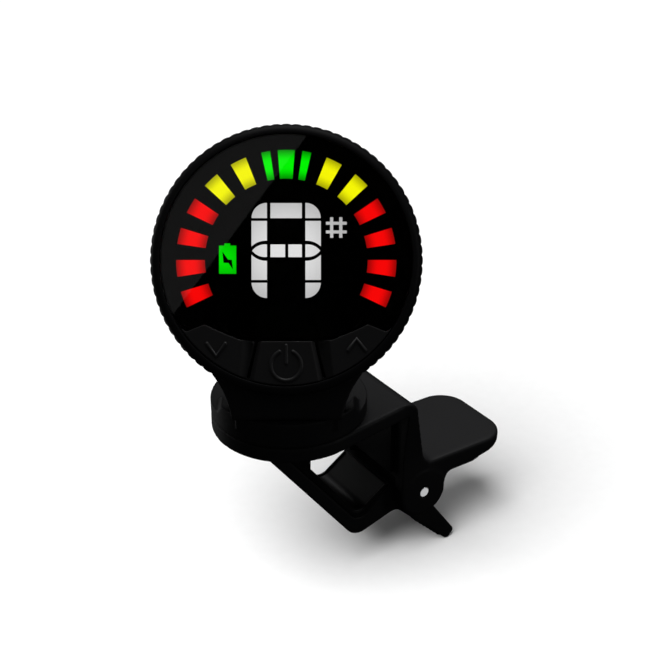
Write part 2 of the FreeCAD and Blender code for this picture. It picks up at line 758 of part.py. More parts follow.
def rear_cover_screws():
    """Four cross-head screws."""
    head_low = dim("cover_back") + 0.02
    head_thickness, shank_radius, shank_length = 0.5, 0.56, 3.0
    cross_long, cross_wide, cross_depth = 1.5, 0.3, 0.3
    screws = []
    for x, u in boss_places():
        screw = Part.makeCylinder(dim("cover_screw_head"), head_thickness, Vector(x, u, head_low))
        shank = Vector(x, u, head_low + head_thickness)
        screw = screw.fuse(Part.makeCylinder(shank_radius, shank_length, shank))
        for across, along in ((cross_long, cross_wide), (cross_wide, cross_long)):
            corner = Vector(x - across / 2, u - along / 2, head_low)
            screw = screw.cut(Part.makeBox(across, along, cross_depth, corner))
        screws.append(screw)
    return plain_feature("rear_cover_screws", HEAD, Part.makeCompound(screws))


def front_bezel():
    """Front ring, with a ledge that carries the window."""
    body = new_body("front_bezel", HEAD)
    front, back = dim("bezel_front"), dim("bezel_back")
    outer = sketch_on(body, "XY", offset=back, circles=[(0, 0, "bezel_outer_radius")])
    pad(body, outer, front - back)
    soften(body, 0.5, lambda p, e: abs(p.z - front) < 0.01)
    inner = sketch_on(body, "XY", offset=back + 0.3, circles=[(0, 0, "bezel_inner_radius")])
    pocket(body, inner, front - back, backward=True)
    ledge = sketch_on(body, "XY", offset=back, circles=[(0, 0, "ledge_radius")])
    pocket(body, ledge, 1.0, backward=True)
    radius, angle = dim("bezel_inner_radius") - 0.05, dim("ledge_end")
    keys_side = outline(
        (-radius * math.cos(angle), -radius * math.sin(angle)),
        ("via", 0, -radius),
        (radius * math.cos(angle), -radius * math.sin(angle)),
    )
    pocket(body, sketch_on(body, "XY", keys_side, offset=back), 1.0, backward=True)
    return body


def key_boundary(gap):
    """The line between the window and the keys, from left to right, set off by gap."""
    split = dim("key_split") + gap
    half = [(16.2, -9.7), (14.9, -10.55), (12.2, -9.45), (9.9, -10.5), (6.9, -11.75), (5.0, split)]
    left = [(-x, y + (gap if index < 5 else 0)) for index, (x, y) in enumerate(half)]
    right = [(-x, y) for x, y in reversed(left)]
    return left + right


def display_lens():
    """Glossy window, cut away below for the keys."""
    body = new_body("display_lens", HEAD)
    radius = dim("window_radius")
    line = key_boundary(dim("key_gap"))
    edge_y = line[0][1] + 0.9
    edge_x = math.sqrt(radius**2 - edge_y**2)
    corners = [(-edge_x, edge_y)] + [(x, y, 0.6) for x, y in line[1:-1]]
    corners += [(edge_x, edge_y), ("via", 0, radius)]
    sheet_outline = sketch_on(body, "XY", outline(*corners), offset=-dim("lens_thickness"))
    pad(body, sheet_outline, "dims.lens_thickness")
    return body


def key_cap(label, corners):
    """One key: the outline's plate."""
    body = new_body(label, HEAD)
    low = dim("key_proud") - dim("key_thickness")
    pad(body, sketch_on(body, "XY", outline(*corners), offset=low), "dims.key_thickness")
    return body


def keys():
    """Down, power and up keys under the window."""
    gap, radius, split = dim("key_gap"), dim("window_radius") - 0.05, dim("key_split")
    rim_half = 5.5
    rim_y = -math.sqrt(radius**2 - rim_half**2)
    top_half, top = 4.2, split - gap
    corners = [(-top_half, top, 0.4), (-rim_half, rim_y), ("via", 0, -radius)]
    corners += [(rim_half, rim_y), (top_half, top, 0.4)]
    caps = [key_cap("power_key", corners)]
    inner_top, inner_low = 4.55, rim_half + 0.45
    low_y = -math.sqrt(radius**2 - inner_low**2)
    line = key_boundary(-gap)
    edge_y = line[0][1] - 0.25
    edge_x = math.sqrt(radius**2 - edge_y**2)
    via = (radius * math.cos(math.radians(232)), radius * math.sin(math.radians(232)))
    for label, side in (("down_key", -1), ("up_key", 1)):
        upper = [(side * -x, y, 0.6) for x, y in line[1:5]]
        corners = [(side * edge_x, edge_y)] + upper + [(side * inner_top, top, 0.3)]
        corners += [(side * inner_low, low_y), ("via", side * -via[0], via[1])]
        caps.append(key_cap(label, corners))
    return caps


KEY_SWITCHES = (("down", (-9.4, -12.9)), ("power", (0.0, -15.0)), ("up", (9.4, -12.9)))


def switch_plungers():
    """One plunger under each key."""
    bodies = []
    for name, (x, y) in KEY_SWITCHES:
        body = new_body(f"{name}_switch_plunger", HEAD)
        top = dim("key_proud") - dim("key_thickness") - 0.02
        sketch = sketch_on(body, "XY", offset=-2.9, circles=[(x, y, "plunger_radius")])
        pad(body, sketch, top + 2.9)
        bodies.append(body)
    return bodies


def key_switches():
    """Three switch cases on the board, open for their plungers."""
    side, height = 3.2, 1.15
    cases = []
    for _name, (x, y) in KEY_SWITCHES:
        corner = Vector(x - side / 2, y - side / 2, dim("board_front"))
        case = Part.makeBox(side, side, height, corner)
        hole = Part.makeCylinder(dim("plunger_radius") + 0.05, 1.3, Vector(x, y, dim("board_front") - 0.05))
        cases.append(case.cut(hole))
    return plain_feature("key_switches", HEAD, Part.makeCompound(cases))


def under_window(label, radius, low, high):
    """A round sheet under the window, cut straight above the keys."""
    body = new_body(label, HEAD)
    edge_y = dim("panel_edge")
    edge_x = math.sqrt(radius**2 - edge_y**2)
    sheet_outline = outline((-edge_x, edge_y), (edge_x, edge_y), ("via", 0, radius))
    pad(body, sketch_on(body, "XY", sheet_outline, offset=low), high - low)
    return body


def main_board():
    back, front = dim("board_back"), dim("board_front")
    body = round_plate("main_board", HEAD, "board_radius", back, front)
    pocket(body, holes_at_bosses(body, dim("peg_radius") + 0.08, back), front - back, backward=True)
    return body


def board_chips():
    """Processor, amplifier and charge controller on the back of the board."""
    sizes = [(0.0, 9.0, 6.0, 6.0, 0.8), (-8.5, 9.0, 3.0, 4.0, 0.7), (8.0, 8.5, 3.0, 3.0, 0.6)]
    chips = []
    for x, y, width, depth, height in sizes:
        corner = Vector(x - width / 2, y - depth / 2, dim("board_back") - height)
        chips.append(Part.makeBox(width, depth, height, corner))
    return plain_feature("board_chips", HEAD, Part.makeCompound(chips))


def battery():
    """Lithium-polymer pouch."""
    body = new_body("battery", HEAD)
    half, back, front = dim("battery_half_width"), dim("battery_back"), dim("battery_front")
    pouch = sketch_on(body, "XY", box_outline(-half, half, -14.0, 4.0, 1.0), offset=back)
    pad(body, pouch, front - back)
    soften(body, 0.8, lambda p, e: min(abs(p.z - back), abs(p.z - front)) < 0.01)
    return body


def battery_tape():
    body = new_body("battery_tape", HEAD)
    low = dim("cover_front") + 0.02
    square = sketch_on(body, "XY", box_outline(-7.5, 7.5, -12.5, 2.5), offset=low)
    pad(body, square, dim("battery_back") - 0.01 - low)
    return body


def piezo_sensor():
    """Brass disc with its ceramic layer, on the rear cover."""
    low, thickness, centre_y = dim("cover_front") + 0.02, 0.2, 11.0
    brass = Part.makeCylinder(5.0, thickness, Vector(0, centre_y, low))
    ceramic = Part.makeCylinder(3.6, thickness, Vector(0, centre_y, low + thickness))
    return plain_feature("piezo_sensor", HEAD, brass.fuse(ceramic))


def usb_socket():
    """Charging socket: a stadium tube with a tongue, its mouth in the shell's side."""
    body = new_body("usb_socket", HEAD)
    outer = box_outline(-4.47, 4.47, -7.58, -4.34, 1.55)
    pad(body, sketch_on(body, "YZ", outer, offset=12.4), 7.3)
    inner = box_outline(-4.17, 4.17, -7.28, -4.64, 1.25)
    pocket(body, sketch_on(body, "YZ", inner, offset=13.0), 7.0, backward=True)
    tongue = box_outline(-3.35, 3.35, -6.3, -5.6)
    pad(body, sketch_on(body, "YZ", tongue, offset=12.9), 6.2)
    return body


# ---- the whole tuner -----------------------------------------------------------------------


def build():
    """All sub-parts, one per node."""
    roof, ring_radius = dim("counterbore_level"), dim("retainer_radius")
    sub_parts = [
        upper_jaw(),
        upper_pad(),
        lower_jaw(),
        lower_pad(),
        jaw_pin(),
        torsion_spring(),
        swivel_disc(),
        washer("swivel_wave_spring", ring_radius, dim("wave_spring_bore"), roof - 0.32, roof - 0.02),
        washer("swivel_retainer", ring_radius, 0.85, dim("retainer_bottom"), dim("retainer_top")),
        swivel_screw(),
        tilt_pin(),
        tilt_washers(),
        rear_housing(),
        rear_cover(),
        rear_cover_screws(),
        front_bezel(),
        display_lens(),
        under_window("display_panel", 17.5, dim("panel_back"), dim("panel_front")),
        under_window("backlight", 17.3, dim("backlight_back"), dim("backlight_front")),
        main_board(),
        board_chips(),
        key_switches(),
        battery(),
        battery_tape(),
        piezo_sensor(),
        usb_socket(),
    ]
    return sub_parts + keys() + switch_plungers()


def check(sub_parts):
    """Stops at the first failed object or bad shape."""
    doc.recompute()
    for item in doc.Objects:
        if "Invalid" in item.State or "Error" in item.State:
            raise RuntimeError(f"{item.Name} failed: {item.State}")
    for piece in sub_parts:
        if piece.Shape.isNull() or not piece.Shape.isValid():
            raise RuntimeError(f"{piece.Label} has a bad shape")


def write(sub_parts):
    """One STEP file per sub-part, named after its node."""
    os.makedirs("parts", exist_ok=True)
    for piece in sub_parts:
        piece.Shape.exportStep(os.path.join("parts", f"{piece.Label}.step"))
        box = piece.Shape.BoundBox
        size = f"{box.XLength:.1f} x {box.YLength:.1f} x {box.ZLength:.1f}"
        print(f"{piece.Label:22s} {len(piece.Shape.Solids)} solid(s)  {size}  {piece.Shape.Volume:.1f} mm3")


pieces = build()
check(pieces)
write(pieces)
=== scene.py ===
# %% [markdown]
# # A clip-on instrument tuner
# A round display head with three keys stands on a neck that tilts on a swivel disc. The disc
# turns on the upper jaw of a sprung clip. The CAD model gives every size and every joint, so it
# is loaded first and never moved. Each step below either gives a CAD piece its finish or makes a
# finer piece that stands in its place.

# %% Load the CAD model
import math

import bmesh
import bpy
import numpy as np
from mathutils import Euler, Matrix, Vector


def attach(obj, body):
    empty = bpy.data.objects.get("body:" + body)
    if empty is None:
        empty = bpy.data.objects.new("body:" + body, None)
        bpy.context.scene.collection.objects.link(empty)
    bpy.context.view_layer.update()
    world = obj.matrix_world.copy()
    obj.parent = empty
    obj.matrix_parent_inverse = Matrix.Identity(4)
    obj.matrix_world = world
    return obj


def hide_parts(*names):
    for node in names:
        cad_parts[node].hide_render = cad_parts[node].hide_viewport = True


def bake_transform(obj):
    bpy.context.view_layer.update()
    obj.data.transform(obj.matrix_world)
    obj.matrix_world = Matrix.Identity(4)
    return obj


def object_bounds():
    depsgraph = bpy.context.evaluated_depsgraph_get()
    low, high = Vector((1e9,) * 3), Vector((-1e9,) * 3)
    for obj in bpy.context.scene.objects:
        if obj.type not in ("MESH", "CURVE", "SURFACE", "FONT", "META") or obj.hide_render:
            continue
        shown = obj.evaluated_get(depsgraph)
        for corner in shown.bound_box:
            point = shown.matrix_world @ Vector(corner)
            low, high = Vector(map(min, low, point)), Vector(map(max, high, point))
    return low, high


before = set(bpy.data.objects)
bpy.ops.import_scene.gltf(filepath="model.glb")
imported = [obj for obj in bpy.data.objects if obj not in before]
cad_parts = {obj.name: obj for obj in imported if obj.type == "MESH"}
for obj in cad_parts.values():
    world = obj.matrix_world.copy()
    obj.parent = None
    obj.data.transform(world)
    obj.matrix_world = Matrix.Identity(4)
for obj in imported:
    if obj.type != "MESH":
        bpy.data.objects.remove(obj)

CAD_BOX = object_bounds()

# %% [markdown]
# ## Three frames
# The clip lies square to the axes of the CAD model, the swivel disc is turned on the clip, and
# the head leans back on the disc. Working in each group's own frame, in millimetres, keeps the
# numbers short. A matrix then carries the finished mesh to its real place in metres, which leaves
# the object itself at the origin.

# %% Frames of the clip, the swivel and the head
MM = 0.001
SEAM_LEVEL = 3.2
SWIVEL_TURN, HEAD_LEAN = 33.4, 27.0
WINDOW_PLACE = (0, -4.19, 28.0)
seam = Matrix.Translation(Vector((0, 0, SEAM_LEVEL * MM)))
swivel = seam @ Matrix.Rotation(math.radians(-SWIVEL_TURN), 4, "Z")
window = Matrix.Translation(Vector(WINDOW_PLACE) * MM)
head = swivel @ window @ Matrix.Rotation(math.radians(90 - HEAD_LEAN), 4, "X")
in_mm = Matrix.Scale(MM, 4)
CLIP, SWIVEL, HEAD = seam @ in_mm, swivel @ in_mm, head @ in_mm
print("window centre:", [round(v, 4) for v in HEAD.translation])

# %% [markdown]
# ## Colours and nodes
# Colours are written as the hex values that a colour picker shows. A shader works with linear
# light, so one function converts them. Another adds a node and fills its sockets in one line,
# which keeps each tree short enough to read.

# %% Colour and node helpers
MATH, NOISE, RAMP, RANGE = (
    f"ShaderNode{kind}" for kind in ("Math", "TexNoise", "ValToRGB", "MapRange")
)


def rgb(code):
    """An sRGB hex colour as linear RGBA."""
    channels = [int(code[i : i + 2], 16) / 255 for i in (1, 3, 5)]
    linear = [c / 12.92 if c <= 0.04045 else ((c + 0.055) / 1.055) ** 2.4 for c in channels]
    return (*linear, 1.0)


def fill(tree, node, *values, **inputs):
    """Fills a node's sockets in order or by name; a node as a value gives its first output."""
    pairs = list(zip(node.inputs, values))
    pairs += [(node.inputs[name.replace("_", " ")], value) for name, value in inputs.items()]
    for socket, value in pairs:
        if isinstance(value, bpy.types.Node):
            value = value.outputs[0]
        if isinstance(value, bpy.types.NodeSocket):
            tree.links.new(value, socket)
        else:
            socket.default_value = value


def add(tree, kind, settings=None, *values, **inputs):
    """Adds a node and fills it; settings are its own properties, or one word, its operation."""
    made = tree.nodes.new(kind)
    if isinstance(settings, str):
        settings = {"operation": settings}
    for name, value in (settings or {}).items():
        setattr(made, name, value)
    fill(tree, made, *values, **inputs)
    return made


def new_material(name):
    """A new material, its node tree and its Principled shader."""
    material = bpy.data.materials.new(name)
    material.use_nodes = True
    return material, material.node_tree, material.node_tree.nodes["Principled BSDF"]


def paint(ramp, low, high):
    """Gives a colour ramp its two end colours."""
    ramp.color_ramp.elements[0].color = rgb(low)
    ramp.color_ramp.elements[1].color = rgb(high)


# %% [markdown]
# ## Moulded nylon and rubber
# The shells, the clip and the discs are glass-filled nylon, moulded in a mould with a fine
# spark-eroded texture. That gives a dull near-black with a faint grain of about 0.3 mm that
# breaks up every highlight. The keys and the jaw pads are silicone rubber: the same recipe with a
# softer, smoother surface. One function makes them all, with the grain size in millimetres. The
# fine grain drives colour, roughness and bump together, and a broad cloud of about 7 mm keeps
# large faces from looking flat.

# %% Moulded finishes
BROAD_CLOUD = 7.0


def moulded(name, dark, light, roughness, grain, relief, specular):
    """Moulded plastic or rubber; grain is its texture's size and relief its depth, in mm."""
    material, tree, shader = new_material(name)
    place = add(tree, "ShaderNodeTexCoord").outputs["Object"]
    fine = add(tree, NOISE, Vector=place, Scale=1000 / grain, Detail=3.0, Roughness=0.6)
    broad = add(tree, NOISE, Vector=place, Scale=1000 / BROAD_CLOUD, Detail=2.0)
    tone = add(tree, MATH, "MULTIPLY_ADD", fine, 0.5, add(tree, MATH, "MULTIPLY", broad, 0.5))
    colour = add(tree, RAMP, Fac=tone)
    paint(colour, dark, light)
    rough = add(tree, RANGE, Value=fine, To_Min=roughness - 0.07, To_Max=roughness + 0.07)
    bump = add(tree, "ShaderNodeBump", Height=fine, Strength=0.6, Distance=relief * MM)
    fill(tree, shader, Base_Color=colour, Roughness=rough, Normal=bump)
    fill(tree, shader, IOR=1.5, Specular_IOR_Level=specular)
    return material


nylon = moulded("glass_filled_nylon", "#101011", "#18181a", 0.56, 0.32, 0.025, 0.16)
ring_nylon = moulded("satin_nylon_ring", "#0e0e0f", "#141415", 0.48, 0.26, 0.008, 0.05)
key_rubber = moulded("silicone_key_rubber", "#141415", "#1c1c1d", 0.60, 0.24, 0.012, 0.2)
# The symbols are the keys' own rubber painted lighter: a painted highlight on the ridges.
symbol_rubber_painted_highlight = moulded("silicone_symbols_with_painted_highlight", "#1c1c1d", "#262627", 0.46, 0.24, 0.008, 0.3)
pad_rubber = moulded("silicone_pad_rubber", "#0b0b0c", "#101011", 0.36, 0.5, 0.006, 0.2)
moulded_finishes = (nylon, ring_nylon, key_rubber, symbol_rubber_painted_highlight, pad_rubber)
print("moulded finishes:", [made.name for made in moulded_finishes])

# %% [markdown]
# ## Metals
# The jaw pin is a ground and polished steel dowel, and the spring is drawn music wire. The screws
# are zinc-plated, the sensor is a brass sheet and the battery's pouch is aluminium foil. Metals
# keep the default IOR; their colour and a streaked roughness do the work. A noise whose
# coordinates are scaled down along one axis is drawn out into streaks that run along that axis.

# %% Metal finishes
def metal(name, dark, light, roughness, streak, stretch):
    """A metal with streaks of the given spacing in mm, drawn out by stretch along each axis."""
    material, tree, shader = new_material(name)
    place = add(tree, "ShaderNodeTexCoord").outputs["Object"]
    drawn = add(tree, "ShaderNodeMapping", Vector=place, Scale=stretch)
    streaks = add(tree, NOISE, Vector=drawn, Scale=1000 / streak, Detail=4.0)
    colour = add(tree, RAMP, Fac=streaks)
    paint(colour, dark, light)
    rough = add(tree, RANGE, Value=streaks, To_Min=roughness - 0.08, To_Max=roughness + 0.08)
    fill(tree, shader, Base_Color=colour, Roughness=rough, Metallic=1.0)
    return material


dowel_steel = metal("polished_dowel_steel", "#e4e4e6", "#fbfbfc", 0.30, 0.4, (1.0, 0.1, 1.0))
music_wire = metal("drawn_music_wire", "#8e9094", "#b4b6ba", 0.32, 0.25, (1.0, 0.2, 1.0))
zinc = metal("zinc_plated_screw_steel", "#a2a5aa", "#c6c9cd", 0.34, 0.3, (1.0, 1.0, 0.3))
brass = metal("sheet_brass", "#a9843f", "#c9a25a", 0.33, 0.6, (1.0, 0.15, 1.0))
foil = metal("aluminium_pouch_foil", "#a8abb0", "#c4c7cb", 0.42, 1.2, (1.0, 1.0, 1.0))
print("metals:", [made.name for made in (dowel_steel, music_wire, zinc, brass, foil)])

# %% [markdown]
# ## Window and display
# The window is a polished sheet of clear acrylic. Behind it the display is black, and its lit
# cells show their own light. Each meter bar is brightest in its middle and falls off towards both
# ends, as a cell does over its lamp, so the glow is a ramp over the distance from the head's
# centre. A Mapping node of type Texture turns object coordinates into the head's own frame for
# that.
#
# The cells lie at one level below the window's outer face and are a hair thick.

# %% Window and display finishes
VECTOR_MATH = "ShaderNodeVectorMath"
CELL_LEVEL, CELL_THICKNESS = -1.24, 0.02
CELL_TOP = CELL_LEVEL + CELL_THICKNESS
CELL_STRENGTH = 1.06
BRIGHTEST = (0.42, 0.58)
BAR_GLOW = (11.75, 16.85)


def head_place(tree):
    """Object coordinates in the head's frame, still in metres."""
    place = add(tree, "ShaderNodeTexCoord").outputs["Object"]
    mapping = add(tree, "ShaderNodeMapping", {"vector_type": "TEXTURE"}, Vector=place)
    mapping.inputs["Location"].default_value = head.translation
    mapping.inputs["Rotation"].default_value = head.to_euler("XYZ")
    return mapping.outputs[0]


def lit_cell(name, edge, middle, centre, near, far):
    """A lit display cell: edge colour at near and far mm from centre, middle colour half way."""
    material, tree, shader = new_material(name)
    middle_place = Vector((*centre, CELL_TOP)) * MM
    offset = add(tree, VECTOR_MATH, "SUBTRACT", head_place(tree), middle_place)
    length = add(tree, VECTOR_MATH, "LENGTH", offset).outputs["Value"]
    share = add(tree, RANGE, Value=length, From_Min=near * MM, From_Max=far * MM)
    ramp = add(tree, RAMP, Fac=share)
    paint(ramp, edge, edge)
    ramp.color_ramp.interpolation = "EASE"
    for position in BRIGHTEST:
        ramp.color_ramp.elements.new(position).color = rgb(middle)
    fill(tree, shader, Emission_Color=ramp, Emission_Strength=CELL_STRENGTH)
    fill(tree, shader, Base_Color=(0, 0, 0, 1), Roughness=0.5, Specular_IOR_Level=0.0)
    return material


def clear_acrylic():
    """Polished clear acrylic, whose polish varies a little every 9 mm or so."""
    material, tree, shader = new_material("polished_clear_acrylic")
    place = add(tree, "ShaderNodeTexCoord").outputs["Object"]
    wave = add(tree, NOISE, Vector=place, Scale=1000 / 9.0, Detail=1.0)
    rough = add(tree, RANGE, Value=wave, To_Min=0.010, To_Max=0.016)
    fill(tree, shader, Base_Color=(1, 1, 1, 1), Roughness=rough)
    fill(tree, shader, IOR=1.49, Transmission_Weight=1.0)
    return material


acrylic = clear_acrylic()
display_black = moulded("black_display_glass", "#020202", "#040404", 0.5, 0.5, 0.002, 0.05)
green_cell = lit_cell("lit_cell_green", "#047c04", "#04f404", (0, 0), *BAR_GLOW)
yellow_cell = lit_cell("lit_cell_yellow", "#9c9c05", "#f7f708", (0, 0), *BAR_GLOW)
red_cell = lit_cell("lit_cell_red", "#860707", "#f80808", (0, 0), *BAR_GLOW)
white_cell = lit_cell("lit_cell_white", "#b2b2b2", "#e2e2e2", (0, 1.4), -10.0, 10.0)
charge_cell = lit_cell("lit_cell_charge", "#04c404", "#04e004", (-9.2, 0.2), -2.6, 2.6)
cell_finishes = (green_cell, yellow_cell, red_cell, white_cell, charge_cell)
print("window and display:", [made.name for made in (acrylic, display_black, *cell_finishes)])

# %% [markdown]
# ## Pieces that stay as the CAD model has them
# The board, its chips, the battery and the rest are closed in, and show only when the head is
# opened or cut. The window and the jaw pin show, and their CAD shapes are already right. Each
# gets the finish of its real material, so that the part is whole when it is taken apart. The
# spring gets one too, although a copy stands in for it below.

# %% Finishes of the CAD pieces
solder_mask = moulded("dark_green_solder_mask", "#030906", "#06100a", 0.42, 0.8, 0.01, 0.2)
epoxy_black = moulded("moulding_epoxy", "#17181a", "#222326", 0.55, 0.15, 0.006, 0.4)
white_film = moulded("diffuser_film", "#e2e4e6", "#f3f4f5", 0.5, 1.5, 0.004, 0.5)
foam_tape = moulded("acrylic_foam_tape", "#c9c9c4", "#dededa", 0.8, 0.4, 0.03, 0.2)
CAD_FINISHES = {
    "battery": foil,
    "battery_tape": foam_tape,
    "backlight": white_film,
    "board_chips": epoxy_black,
    "display_panel": display_black,
    "display_lens": acrylic,
    "key_switches": epoxy_black,
    "main_board": solder_mask,
    "piezo_sensor": brass,
    "rear_cover": nylon,
    "rear_cover_screws": zinc,
    "swivel_retainer": zinc,
    "swivel_screw": zinc,
    "swivel_wave_spring": music_wire,
    "tilt_pin": dowel_steel,
    "tilt_washers": epoxy_black,
    "torsion_spring": music_wire,
    "jaw_pin": dowel_steel,
    "usb_socket": zinc,
    "down_switch_plunger": white_film,
    "power_switch_plunger": white_film,
    "up_switch_plunger": white_film,
}
for node_name, material in CAD_FINISHES.items():
    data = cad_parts[node_name].data
    data.materials.clear()
    data.materials.append(material)
print("CAD pieces with a finish of their own:", len(CAD_FINISHES))

# %% [markdown]
# ## Making a piece
# Every piece ends the same way: its mesh goes from millimetres in its group's frame to its place
# in metres, its normals point outwards, it is parented to the empty of the body it moves with, and
# the CAD pieces it stands for are hidden.

# %% Finishing helpers
def to_object(name, mesh):
    """An object in the scene, at the origin, that holds the mesh, curve, camera or light."""
    obj = bpy.data.objects.new(name, mesh)
    bpy.context.scene.collection.objects.link(obj)
    return obj


def flattened(obj):
    """The object's mesh with its modifiers worked in; the modifiers are then removed."""
    depsgraph = bpy.context.evaluated_depsgraph_get()
    mesh = bpy.data.meshes.new_from_object(obj.evaluated_get(depsgraph), depsgraph=depsgraph)
    obj.modifiers.clear()
    return mesh


def finish(obj, placing, material, body, replaces=(), sharp=None):
    """Places the mesh, turns its faces outwards, parents it to its body's empty and hides what it
    replaces.
    """
    mesh = obj.data
    bm = bmesh.new()
    bm.from_mesh(mesh)
    bmesh.ops.transform(bm, matrix=placing, verts=bm.verts)
    bmesh.ops.recalc_face_normals(bm, faces=bm.faces)
    bm.to_mesh(mesh)
    bm.free()
    mesh.shade_smooth()
    if sharp is not None:
        mesh.set_sharp_from_angle(angle=math.radians(sharp))
    mesh.materials.clear()
    mesh.materials.append(material)
    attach(obj, body)
    if replaces:
        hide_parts(*replaces)
    print(f"{obj.name}: {len(mesh.polygons)} faces, moves with {body}")
    return obj


# %% [markdown]
# ## Rounded mouldings
# A real moulding has no knife edges: every one is rounded by a few tenths of a millimetre, and
# these edges catch the light as thin bright lines. Bevelling each edge of a CAD mesh is fragile,
# because its faces are thin triangles. A voxel remesh turns the solid into one even skin, and a
# few passes of smoothing then wear all its edges alike while its flat faces stay flat. More
# passes on a chosen region give it a larger round.

# %% Rounding helper
JOIN_DISTANCE = 0.0015


def merged_copy(node_name, placing):
    """A copy of a CAD piece's mesh with its corners joined, in its group's frame in mm."""
    bm = bmesh.new()
    bm.from_mesh(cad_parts[node_name].data)
    bmesh.ops.transform(bm, matrix=placing.inverted(), verts=bm.verts)
    bmesh.ops.remove_doubles(bm, verts=bm.verts, dist=JOIN_DISTANCE)
    mesh = bpy.data.meshes.new(node_name)
    bm.to_mesh(mesh)
    bm.free()
    return mesh


def rounded(name, node_name, placing, voxel, passes, region=None, region_passes=0):
    """The CAD piece as one skin with worn edges; region tests where extra passes work."""
    obj = to_object(name, merged_copy(node_name, placing))
    remesh = obj.modifiers.new("skin", "REMESH")
    remesh.mode = "VOXEL"
    remesh.voxel_size = voxel
    smooth = obj.modifiers.new("wear", "SMOOTH")
    smooth.factor, smooth.iterations = 0.5, passes
    obj.data = flattened(obj)
    if region is not None:
        chosen = [v.index for v in obj.data.vertices if region(v.co)]
        obj.vertex_groups.new(name="region").add(chosen, 1.0, "REPLACE")
        more = obj.modifiers.new("round", "SMOOTH")
        more.factor, more.iterations, more.vertex_group = 0.5, region_passes, "region"
        obj.data = flattened(obj)
        obj.vertex_groups.clear()
    return obj


def reshape(obj, move):
    """Moves the mesh's points: move gets their places as an array and returns new ones."""
    mesh = obj.data
    places = np.empty(len(mesh.vertices) * 3)
    mesh.vertices.foreach_get("co", places)
    mesh.vertices.foreach_set("co", move(places.reshape(-1, 3)).ravel())
    mesh.update()


# %% [markdown]
# ## Round beads
# The symbols on the keys and the lip round the lower pad are round beads that stand half out of a
# surface. Each is a path with a round section and a ball at both ends, so no cut end shows.

# %% Bead helpers
def tubes(name, paths, width, placing, material, body):
    """Round beads along open paths of points in mm, joined into one piece."""
    curve = bpy.data.curves.new(name, "CURVE")
    curve.dimensions = "3D"
    curve.bevel_depth = width / 2
    curve.bevel_resolution = 4
    curve.use_fill_caps = True
    for path in paths:
        spline = curve.splines.new("POLY")
        spline.points.add(len(path) - 1)
        for point, place in zip(spline.points, path):
            point.co = (*place, 1.0)
    drawn = to_object(f"{name}_path", curve)
    mesh = flattened(drawn)
    bpy.data.objects.remove(drawn)
    bm = bmesh.new()
    bm.from_mesh(mesh)
    for path in paths:
        for end in (path[0], path[-1]):
            ball = {"u_segments": 16, "v_segments": 8, "radius": width / 2}
            bmesh.ops.create_uvsphere(bm, matrix=Matrix.Translation(end), **ball)
    bm.to_mesh(mesh)
    bm.free()
    return finish(to_object(name, mesh), placing, material, body)


def rounded_turn(before, corner, after, radius, steps=12):
    """The path before, corner, after, with an arc of the given radius in place of the corner."""
    before, corner, after = Vector(before), Vector(corner), Vector(after)
    back, ahead = (before - corner).normalized(), (after - corner).normalized()
    half = back.angle(ahead) / 2
    centre = corner + (back + ahead).normalized() * radius / math.sin(half)
    start, end = (corner + way * radius / math.tan(half) - centre for way in (back, ahead))
    arms = [start.slerp(end, k / steps) for k in range(steps + 1)]
    return [before] + [centre + arm.normalized() * radius for arm in arms] + [after]


# %% [markdown]
# ## Clip
# The upper jaw is one moulding: lower disc, arm, web, thumb lever and hinge lugs. Its lever is
# rounded by about a millimetre along the top so that it is kind to the thumb, and everything else
# has a small round. The lower jaw is a V with its own lever. A rubber lining lies in each, and
# the lower one is pressed a few hundredths of a millimetre into its jaw, as glued rubber is. A
# round lip runs along both sides of the lower lining.

# %% Upper jaw, lower jaw and their pads
LEVER_START, LEVER_FOOT = 22.3, -17.2
PAD_PRESS = np.array([-0.04, 0.0, -0.06])


def on_upper_lever(point):
    """Whether a point belongs to the upper lever, above the hinge lugs."""
    return point.x > LEVER_START and point.z > LEVER_FOOT


def pressed_into_jaw(places):
    """Moves the lining a little into the jaw, so that no light comes through the seam."""
    return places + PAD_PRESS


upper = rounded("upper_jaw_moulding", "upper_jaw", CLIP, 0.22, 3, on_upper_lever, 34)
finish(upper, CLIP, nylon, "clip", ["upper_jaw"])
lower = rounded("lower_jaw_moulding", "lower_jaw", CLIP, 0.18, 2)
finish(lower, CLIP, nylon, "jaw", ["lower_jaw"])
upper_lining = rounded("upper_pad_lining", "upper_pad", CLIP, 0.14, 4)
finish(upper_lining, CLIP, pad_rubber, "clip", ["upper_pad"])
lower_lining = rounded("lower_pad_lining", "lower_pad", CLIP, 0.14, 2)
reshape(lower_lining, pressed_into_jaw)
finish(lower_lining, CLIP, pad_rubber, "jaw", ["lower_pad"])

# %% Lip of the lower pad
LIP_SIDE, LIP_TURN, LIP_WIDTH = 6.12, 2.5, 0.56
LIP_TIP, LIP_CORNER, LIP_END = (0.1, -9.1), (9.55, -21.6), (15.1, -17.75)
lips = []
for y in (-LIP_SIDE, LIP_SIDE):
    tip, corner, end = ((x, y, z) for x, z in (LIP_TIP, LIP_CORNER, LIP_END))
    lips.append(rounded_turn(tip, corner, end, LIP_TURN))
tubes("lower_pad_lip", lips, LIP_WIDTH, CLIP, pad_rubber, "jaw")

# %% [markdown]
# ## Torsion spring
# One leg of the spring bears on the upper lever and the other on the lower jaw, so the coil winds
# up as the jaw opens. Here a plain copy of the CAD spring, with its place worked into its mesh,
# stands in for it.

# %% Torsion spring
PIN_X, PIN_Z = 21.6, -19.9


def on_pin(y):
    """The place on the jaw pin's axis at y mm from its middle."""
    return CLIP @ Vector((PIN_X, y, PIN_Z))


spring = to_object("torsion_spring_wire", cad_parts["torsion_spring"].data.copy())
spring.data.materials.clear()
spring.data.materials.append(music_wire)
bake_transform(spring)
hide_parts("torsion_spring")

